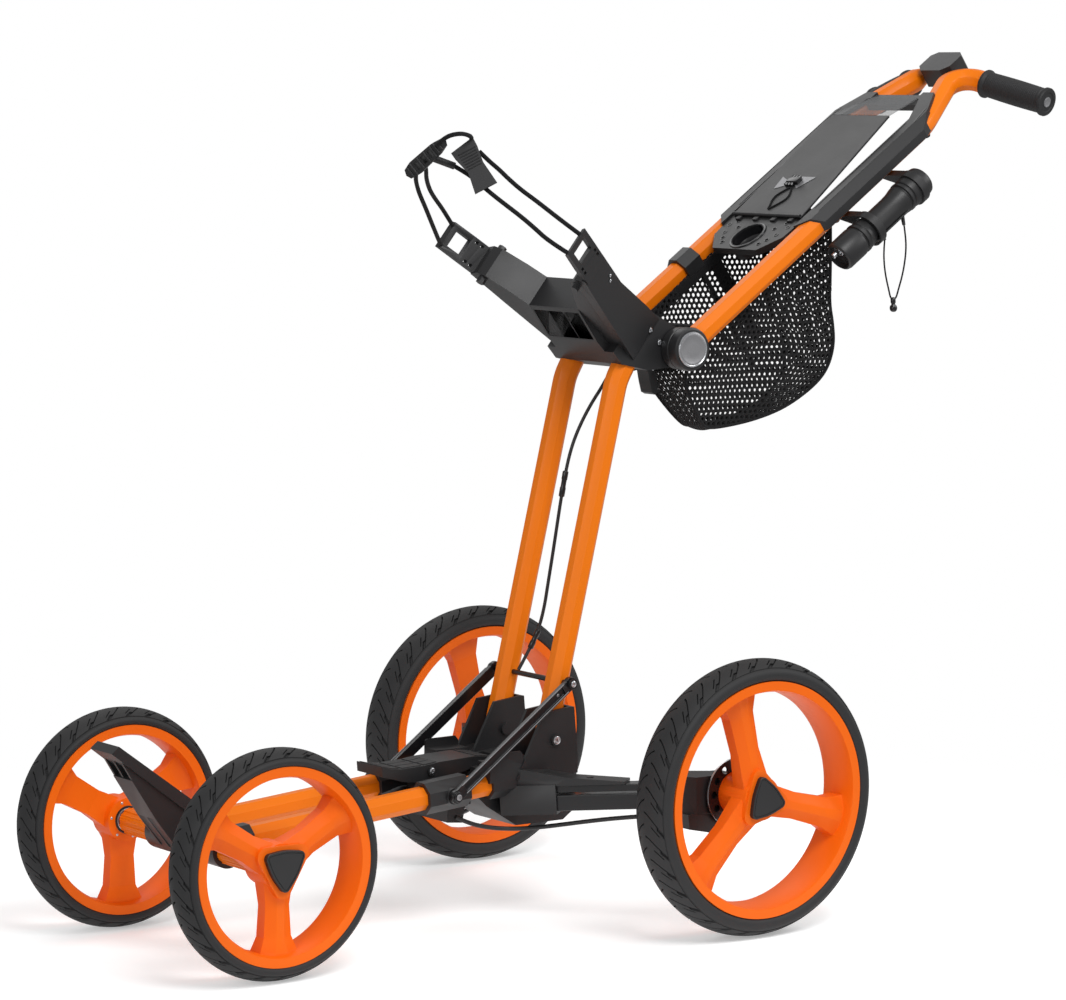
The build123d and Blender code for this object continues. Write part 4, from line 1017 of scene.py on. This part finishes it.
@dataclass
class UmbrellaHolder:
    """Holder under the left upper tube, with its end caps, its stud and the hanging elastic."""

    route: tuple[Point, ...] = (
        (-302, 115, 750), (-300, 116, 737), (-300.5, 116.5, 722), (-303.5, 116.5, 707), (-308.5, 116, 693),
        (-313, 115, 681), (-321, 114.5, 681), (-325, 114.5, 693), (-330, 114.5, 707), (-333.5, 114.5, 722),
        (-335, 115, 738), (-334, 115, 753), (-331, 115, 767))
    length: float = 0.166

    def build(self) -> None:
        """Builds the holder and its elastic."""
        body = NODE_BODY["umbrella_tube"]
        centre, axis = UPPER.at(218, 108, -33), UPPER.along
        tube = Form()
        tube.lathe(centre, axis, [
            (5, 0), (5, 13.2), (0.4, 14), (0, 15.4), (1.6, 17.4), (5, 18.4), (30, 18.5), (32.5, 18.0), (33.4, 16.6),
            (35.4, 16.6), (36.2, 18.4), (39, 18.4), (39.8, 16.5), (41.6, 16.5), (43, 17.6), (46, 17.2), (52, 16.0),
            (62, 15.4), (94, 15.4), (104, 16.0), (110, 17.2), (113, 17.6), (114.4, 16.5), (116.2, 16.5), (117, 18.4),
            (119.8, 18.4), (120.6, 16.6), (122.6, 16.6), (123.5, 18.0), (126, 18.5), (147, 18.5), (151, 17.6),
            (153, 15.8), (152.2, 14.8), (20, 14.6), (10, 14.6), (10, 0)], 44)
        tube.piece("umbrella_holder", Slot.BLACK_PLASTIC, body, sharp=28, replaces=["umbrella_tube"])
        stud = Form()
        for profile in (((6, 3.2), (-5, 3.2), (-5.6, 2.9), (-6, 2.2), (-6, 0)),
                        ((5.5, 6.4), (4.2, 6.4), (3.9, 6.0), (3.9, 2))):
            stud.lathe(UPPER.at(218, 108, -27), axis, profile, 20)
        stud.piece("umbrella_stud", Slot.BARE_STEEL, body)
        rib = Form()
        rib.box((266, 330), (119.5, 121.5), (-45, -43), 0.4)
        for foot, eye in (((-302, 115, 749.5), (-301, 112, 759)), ((-331, 115, 766.5), (-330, 112, 780))):
            rib.bar(BASE.at(*foot), BASE.at(*eye), 1.9, 2.6, 14)
        rib.piece("umbrella_rib", Slot.BLACK_PLASTIC, body)
        points = [BASE.at(*p) for p in self.route]
        toggle = Form()
        toggle.lathe(BASE.at(-317, 114.8, 676), Vector((0.08, 0, 1)), [
            (7.5, 0), (7.5, 1.6), (6.4, 3.0), (1.5, 3.0), (0, 2.2), (-1, 2.4), (-2.4, 3.9), (-5, 4.5), (-7.6, 3.9),
            (-9.2, 2.2), (-9.6, 0)], 20)
        ball = toggle.piece("umbrella_toggle", Slot.BLACK_METAL, body, sharp=60)
        elastic = strand(points, 2.0, "umbrella_elastic", Slot.BLACK_TEXTILE, body, ["umbrella_loop"])


# -------- fittings
@dataclass
class WheelTrim:
    """Domed cap with its sunk border, bearing seal and brake disc edge of one wheel."""

    end: str
    side: str
    bulge: float = 2.2
    corner: float = 26.0
    bow: float = 10.5
    inner: dict[str, float] = field(default_factory=lambda: {"rear": 32.8, "front": 20.0})

    def cap(self, axle: Vector, out: Vector, body: str) -> None:
        """Three-cornered cap with bowed sides and a groove inside its edge.

        Args:
            axle: the wheel's centre, in metres.
            out: direction away from the trolley.
            body: the wheel's body.
        """
        node = f"hub_cap_{self.end}_{self.side}"
        bm = joined_copy(node)
        sides = [e for e in bm.edges if e.calc_length() > 12 * MM]
        bmesh.ops.subdivide_edges(bm, edges=sides, cuts=9)
        for vert in bm.verts:
            flat = vert.co - axle
            flat.y = 0
            short = max(0.0, self.corner - flat.length / MM)
            vert.co += flat.normalized() * (self.bulge * short / self.bow * MM)
        face = max(bm.faces, key=lambda f: f.normal.dot(out) * f.calc_area())
        for width, depth in ((0.5, 0.4), (1.3, 0.0), (0.3, -0.7), (0.7, 0.0), (0.3, 0.5)):
            bmesh.ops.inset_region(bm, faces=[face], thickness=width * MM, depth=depth * MM, use_even_offset=True)
        finish_piece(f"wheel_cap_{self.end}_{self.side}", bm, NODE_SLOT[node], body, sharp=20, replaces=[node])

    def build(self) -> None:
        """Builds the trim."""
        axle = joint_point(f"spin_{self.end}_{self.side}")
        out = Vector((0, SIDES[self.side], 0))
        body = f"wheel_{self.end}_{self.side}"
        self.cap(axle, out, body)
        inner = self.inner[self.end]
        seal, ring, edge = Form(), Form(), Form()
        for form, steps, profile in (
            (seal, 40, ((-1, 15.6), (0.5, 15.4), (0.9, 14.2), (0.5, 13.0), (-1, 12.8))),
            (ring, 40, ((-1, 13.0), (0.6, 12.9), (0.8, 12.4), (0.6, 11.9), (-1, 11.8))),
            (edge, 72, ((0.3, 37.9), (0.5, 38.25), (2.5, 38.25), (2.7, 37.9))),
        ):
            form.lathe(axle, -out, [(inner + h, r) for h, r in profile], steps)
        for step in range(6):
            spot = axle + Matrix.Rotation(math.radians(60 * step + 20), 3, "Y") @ Vector((0, 0, 20 * MM))
            ring.screw(spot - out * ((inner - 0.3) * MM), -out, 1.5, 0.8)
        seal.piece(f"seal_{self.end}_{self.side}", Slot.BLACK_METAL, body)
        ring.piece(f"seal_ring_{self.end}_{self.side}", Slot.BARE_STEEL, body)
        if self.end == "rear":
            edge.piece(f"disc_edge_{self.side}", Slot.BARE_STEEL, body)


@dataclass
class Hinge:
    """Turned covers of the fold hinge, its caps' bright rims, the block's screws and the latch wire."""

    def build(self) -> None:
        """Builds the fittings."""
        centre = Vector((HINGE.x, 0, HINGE.z))
        cover, rim, face, screws, seats = (Form() for _ in range(5))
        for sign in SIDES.values():
            out = Vector((0, sign, 0))
            cover.lathe(centre, out, [(62.7, 20), (62.7, 22.0), (63.6, 23.6), (69, 24.1), (75, 24.2), (75.6, 23.3),
                                      (76.8, 23.3), (77.4, 24.4), (87.0, 24.6), (89.4, 23.8), (90.3, 22.0),
                                      (90.3, 20.6), (88.3, 20.4)], 56)
            rim.lathe(centre, out, [(88.4, 18.6), (88.4, 20.3), (90.6, 20.3), (91.6, 19.6), (91.7, 18.9),
                                    (91.1, 18.3), (90.9, 17.6)], 56)
            face.lathe(centre, out, [(90.9, 18.2), (91.3, 17.0), (91.3, 15.6), (91.05, 15.2), (91.15, 8), (91.3, 0)],
                       56)
            flank = (BAG.along * -44 + Vector((0, sign * 136, 0))).normalized()
            for seat, axis, size in (
                (BAG.at(384.7, sign * 62, 507.8), out, 2.9), (BAG.at(405.5, sign * 64.5, 509.7), flank, 2.9),
                (BAG.at(510.7, sign * 98.5, 507.7), flank, 1.7), (BAG.at(506.1, sign * 97, 504), flank, 1.7),
            ):
                seats.lathe(seat, axis, [(-0.5, size * 1.6), (0.3, size * 1.6), (0.5, size * 1.4), (0.1, size)], 20)
                screws.screw(seat, axis, size, 0.9)
        cover.piece("hinge_covers", Slot.BLACK_PLASTIC, NODE_BODY["hinge_knuckles"])
        rim.piece("hinge_cap_rims", Slot.BARE_STEEL, NODE_BODY["hinge_pins"])
        face.piece("hinge_cap_faces", Slot.GREY_METAL, NODE_BODY["hinge_pins"])
        seats.piece("block_screw_seats", Slot.BLACK_METAL, NODE_BODY["hinge_block"])
        screws.piece("block_screws", Slot.BARE_STEEL, NODE_BODY["hinge_block"])
        wire = ((78, -17), (80, -24), (86, -28.7), (104, -28.3), (115, -27.4), (119.6, -23), (118, -17))
        strand([UPPER.at(u, -75, w) for u, w in wire], 1.8, "latch_wire", Slot.BARE_STEEL, NODE_BODY["latch_ring"])


@dataclass
class Cords:
    """Elastic cords of the cradle, release cable with its ferrules, brake cables."""

    elastic: float = 5.0
    release: float = 4.0
    brake: float = 5.0
    cradle: tuple[tuple[Point, ...], ...] = (
        ((584.5, -121.5, 482), (606, -103, 479.5), (632, -85, 479.5), (658, -69, 481), (679, -57.5, 482.5),
         (693, -48.5, 484), (706, -38, 485.5), (716, -26.5, 487)),
        ((584.5, -121.5, 509), (604, -116, 511), (619, -109.5, 511), (636, -100, 509), (653, -88.5, 507),
         (669, -74, 505), (686, -55, 502), (701, -36, 500), (716, -20, 498)),
        ((584.5, 121.5, 507), (600, 107, 510), (614, 91.5, 514), (627, 74, 519), (640, 57, 523),
         (653, 43.5, 527.5), (664, 33, 532), (676, 24, 534.5), (690, 20.5, 536)),
        ((584.5, 121.5, 481.5), (603, 101, 484), (617, 86.5, 489.5), (631, 69.5, 495), (645, 52, 499.5),
         (658, 37, 503.5), (671, 26, 507), (683, 14.5, 510.3), (694, 0, 511.7)),
        ((734, 13, 509), (739, 26, 517), (731, 35.5, 529), (715, 30, 538), (702, 14, 542.5), (692, -3, 545)))
    sleeve: tuple[Point, ...] = (
        (8.7, 10, 607.5), (22, 9.5, 587), (36, 6.5, 567), (49, 3.5, 543.5), (59, 1, 519), (65.5, -1, 491),
        (69, -4, 462), (72, -7.5, 430), (74.5, -11.5, 398), (77.5, -15.5, 366), (80.7, -18.6, 335),
        (86, -22, 310), (95, -25.5, 289), (109.1, -28, 265.4))
    brake_run: tuple[Point, ...] = (
        (238, 34, 119), (222, 38, 111), (202, 44, 105.5), (178, 52, 102.5), (152, 64, 103), (128, 80, 106.5),
        (110, 101, 111.5), (92, 124, 116.5), (73, 147, 120.5), (52, 168, 123.5), (32, 184, 125.5), (15, 196, 126.5))

    def build(self) -> None:
        """Builds the cords."""
        body = NODE_BODY["bungee_cords"]
        for index, route in enumerate(self.cradle):
            strand([BAG.at(*p) for p in route], self.elastic, f"bungee_{index}", NODE_SLOT["bungee_cords"], body,
                   ["bungee_cords"] if index == 0 else (), 8)
        body = NODE_BODY["release_cable"]
        line = [BASE.at(*p) for p in self.sleeve]
        strand(line, self.release, "release_sleeve", NODE_SLOT["release_cable"], body, ["release_cable"])
        ferrules = Form()
        for index in (5, 11):
            run = line[index + 1] - line[index]
            long = run.length / MM
            ferrules.lathe(line[index], run, [(0, 1.9), (0, 2.9), (1, 3.4), (long * 0.3, 3.4), (long * 0.36, 2.9),
                                              (long * 0.6, 2.9), (long * 0.66, 3.4), (long - 1, 3.4), (long, 2.7),
                                              (long, 1.9)], 24)
        ferrules.piece("release_ferrules", Slot.BLACK_METAL, body)
        for side, sign in SIDES.items():
            strand([BASE.at(x, sign * y, z) for x, y, z in self.brake_run], self.brake, f"brake_cable_{side}",
                   NODE_SLOT["brake_cables"], NODE_BODY["brake_cables"], ["brake_cables"] if sign > 0 else ())


@dataclass
class Buckle:
    """Raised bars on the cradle's hook and on its pull tab."""

    def bars(self, origin: Vector, along: Vector, out: Vector, spots: Iterable[Point],
             lying: bool, radius: float) -> Form:
        """Round bars on a plate.

        Args:
            origin: origin of the plate's plane.
            along: its first direction.
            out: its normal.
            spots: place along the plate, half length and height over the plane of each bar, in millimetres.
            lying: whether the bars run along the first direction.
            radius: of the bars.

        Returns:
            The bars.
        """
        across = out.cross(along)
        run, move = (along, across) if lying else (across, along)
        made = Form()
        for place, half, lift in spots:
            centre = origin + (move * place + out * lift) * MM
            made.bar(centre - run * (half * MM), centre + run * (half * MM), radius, sides=10)
        return made

    def build(self) -> None:
        """Builds the bars."""
        body = NODE_BODY["cord_buckle"]
        hook = self.bars(BASE.at(258, -34, 825), Vector((-0.137, 0.824, 0.55)), Vector((0.876, 0.361, -0.322)),
                         [(s, half, lift) for s, half in ((5, 6.4), (11, 7.6), (23.5, 7.2), (35.5, 7.0), (47, 7.0),
                                                          (53, 6.4), (59, 5.0)) for lift in (-3.6, 3.6)], False, 1.3)
        hook.piece("buckle_bars", NODE_SLOT["cord_buckle"], body)
        tab = self.bars(BASE.at(220.2, 16.2, 854.4), Vector((-0.739, 0.481, 0.468)), Vector((0.621, 0.756, 0.204)),
                        [(-6 - 3.2 * i, 10.5 - 0.4 * i, 4.0) for i in range(7)], True, 0.8)
        tab.piece("tab_bars", NODE_SLOT["cord_buckle"], body)


@dataclass
class LowerFittings:
    """Pedal pads, ribs of the front beam, screws of frame and mast, painted highlight strips along the struts' edges,
    and screws of the struts.
    """

    pads: tuple[tuple[float, float, float, float], ...] = (
        (256, 180.75, 273, 178.8), (276, 178.5, 302, 177.6), (306, 177.65, 317, 178.8), (319.5, 179.4, 328, 181.5),
        (183, 180.4, 203, 182.7))

    def build(self) -> None:
        """Builds the fittings."""
        pedal = Form()
        for x0, z0, x1, z1 in self.pads:
            for y in (-15.5, 0, 15.5):
                pedal.prism([BASE.at(x0, y - 6.8, z0), BASE.at(x1, y - 6.8, z1), BASE.at(x1, y + 6.8, z1),
                             BASE.at(x0, y + 6.8, z0)], Vector((0, 0, 0.8 * MM)), 0.3, 1)
        pedal.piece("pedal_pads", Slot.GRIP_RUBBER, NODE_BODY["brake_pedal"])
        fixed, moving, mast, beam = (Form() for _ in range(4))
        foot, cross = (264.0, 150.1), (110.8, 262.5)
        tilt = math.atan2(cross[1] - foot[1], cross[0] - foot[0])
        down = Vector((math.sin(tilt), 0, -math.cos(tilt)))
        for sign in SIDES.values():
            out = Vector((0, sign, 0))
            fixed.screw(BASE.at(265, sign * 27.7, 172), out, 3.6, 1.0)
            fixed.screw(BASE.at(125.6, sign * 68.6, 199.5), out, 4.6, 1.2)
            mast.screw(BASE.at(cross[0], sign * 78.7, cross[1]), out, 3.4, 1.2)
            for step in range(16):
                swing = Matrix.Rotation(math.radians(22.5 * step + 11.2), 3, "Y") @ Vector((0, 0, 14.3 * MM))
                near, far = (FRONT_AXLE + Vector((0, sign * y * MM - FRONT_AXLE.y, 0)) + swing for y in (71, 131.5))
                beam.bar(near, far, 1.0, sides=8)
            # Two thin light grey bars along each strut's edges are painted highlights: they stand for light caught on
            # the edges, not for strips on the part.
            start, end = (BASE.at(x, sign * 75.0, z) for x, z in (foot, cross))
            run = (end - start).normalized() * (12 * MM)
            for drop in (6.3, -4.6):
                shift = down * (drop * MM)
                moving.bar(start + run + shift, end - run * 0.7 + shift, 0.55, sides=8)
            moving.screw(BASE.at(foot[0], sign * 78.1, foot[1]), out, 3.4, 1.2)
            moving.screw(end - run * 1.7 - out * (3.2 * MM), out, 1.8, 1.0)
        beam.piece("beam_ribs", Slot.ORANGE_PAINT, NODE_BODY["front_axle_beam"])
        fixed.piece("frame_screws", Slot.BARE_STEEL, NODE_BODY["frame_bolts"])
        mast.piece("cross_screws", Slot.BARE_STEEL, NODE_BODY["cross_rod"])
        # Piece holding the struts' painted highlight strips and their screws.
        moving.piece("strut_edges", Slot.GREY_METAL, NODE_BODY["struts"])


@dataclass
class Grips:
    """Rubber grips with flared ends, fine ribs and an end plug."""

    start: Point = (546.2, 66, -20.4)
    end: Point = (549.6, 152, -49.5)
    ribs: int = 30
    ends: Pair = (8, 10)

    def build(self) -> None:
        """Builds both grips."""
        body = NODE_BODY["grips"]
        grips, plugs = Form(), Form()
        for sign in SIDES.values():
            start = UPPER.at(self.start[0], sign * self.start[1], self.start[2])
            axis = UPPER.at(self.end[0], sign * self.end[1], self.end[2]) - start
            long = axis.length / MM
            profile = [(0, 12.6), (0, 16.2), (1.2, 17), (3.5, 17), (5.5, 15.6), (7, 14.9)]
            step = (long - sum(self.ends)) / self.ribs
            for rib in range(self.ribs):
                low = self.ends[0] + rib * step
                swell = 0.5 * math.sin(math.pi * rib / self.ribs)
                profile += [(low, 15.0 + swell), (low + step * 0.6, 15.0 + swell), (low + step * 0.8, 14.7 + swell)]
            profile += [(long - 9, 14.9), (long - 6.5, 15.4), (long - 4.5, 17), (long - 1.5, 17), (long, 16.2),
                        (long, 12.0), (long - 0.8, 11.4), (long - 0.8, 0)]
            grips.lathe(start, axis, profile, 40)
            plugs.lathe(start, axis, [(long - 0.8, 6.2), (long + 0.1, 6.0), (long + 0.3, 5.2), (long - 0.1, 4.4),
                                      (long - 0.4, 0)], 24)
        grips.piece("hand_grips", NODE_SLOT["grips"], body, sharp=28, replaces=["grips"])
        plugs.piece("grip_plugs", Slot.GREY_METAL, body)


# -------- assembly
@dataclass
class Dressing:
    """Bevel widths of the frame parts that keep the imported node's shape."""

    widths: dict[str, float] = field(default_factory=lambda: {
        "mast_tube_*": 2.6, "upper_tube_*": 2.6, "front_tube_*": 2.6, "front_axle_beam": 1.5, "rear_legs": 2.0,
        "leg_wings": 1.6, "leg_bars": 1.0, "hub_carrier_*": 2.0, "chassis_body": 1.6, "bag_base": 1.2,
        "brake_pedal": 1.2, "collars": 1.2, "struts": 0.6, "hinge_block": 2.0, "cradle_arm_*": 1.2,
        "hinge_knuckles": 1.6, "hinge_pins": 0.8, "release_trigger": 2.5, "handle_hub": 5.0, "latch_ring": 1.2,
        "console_frame": 1.4, "console_panel": 0.7, "umbrella_clips": 0.6, "cord_buckle": 0.8, "rim_rear_*": 1.6,
        "rim_front_*": 1.4,
    })

    def build(self) -> None:
        """Rounds each part's edges, on both sides where its name has a star."""
        for name, width in self.widths.items():
            for node in dict.fromkeys(name.replace("*", side) for side in SIDES):
                soften(node, width)


def main() -> None:
    """Builds every class in order."""
    logging.basicConfig(level=logging.INFO, format="%(name)s %(message)s")
    PALETTE.dress_nodes()
    for part in (Studio, Dressing, MeshBasket, Console, UmbrellaHolder, Hinge, Cords, Buckle, LowerFittings, Grips):
        part().build()
    for side in SIDES:
        for end in PITCHES:
            WheelTrim(end, side).build()
        for end, pitches in PITCHES.items():
            Tyre(end, side, pitches).build()
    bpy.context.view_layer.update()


if __name__ == "__main__":
    main()
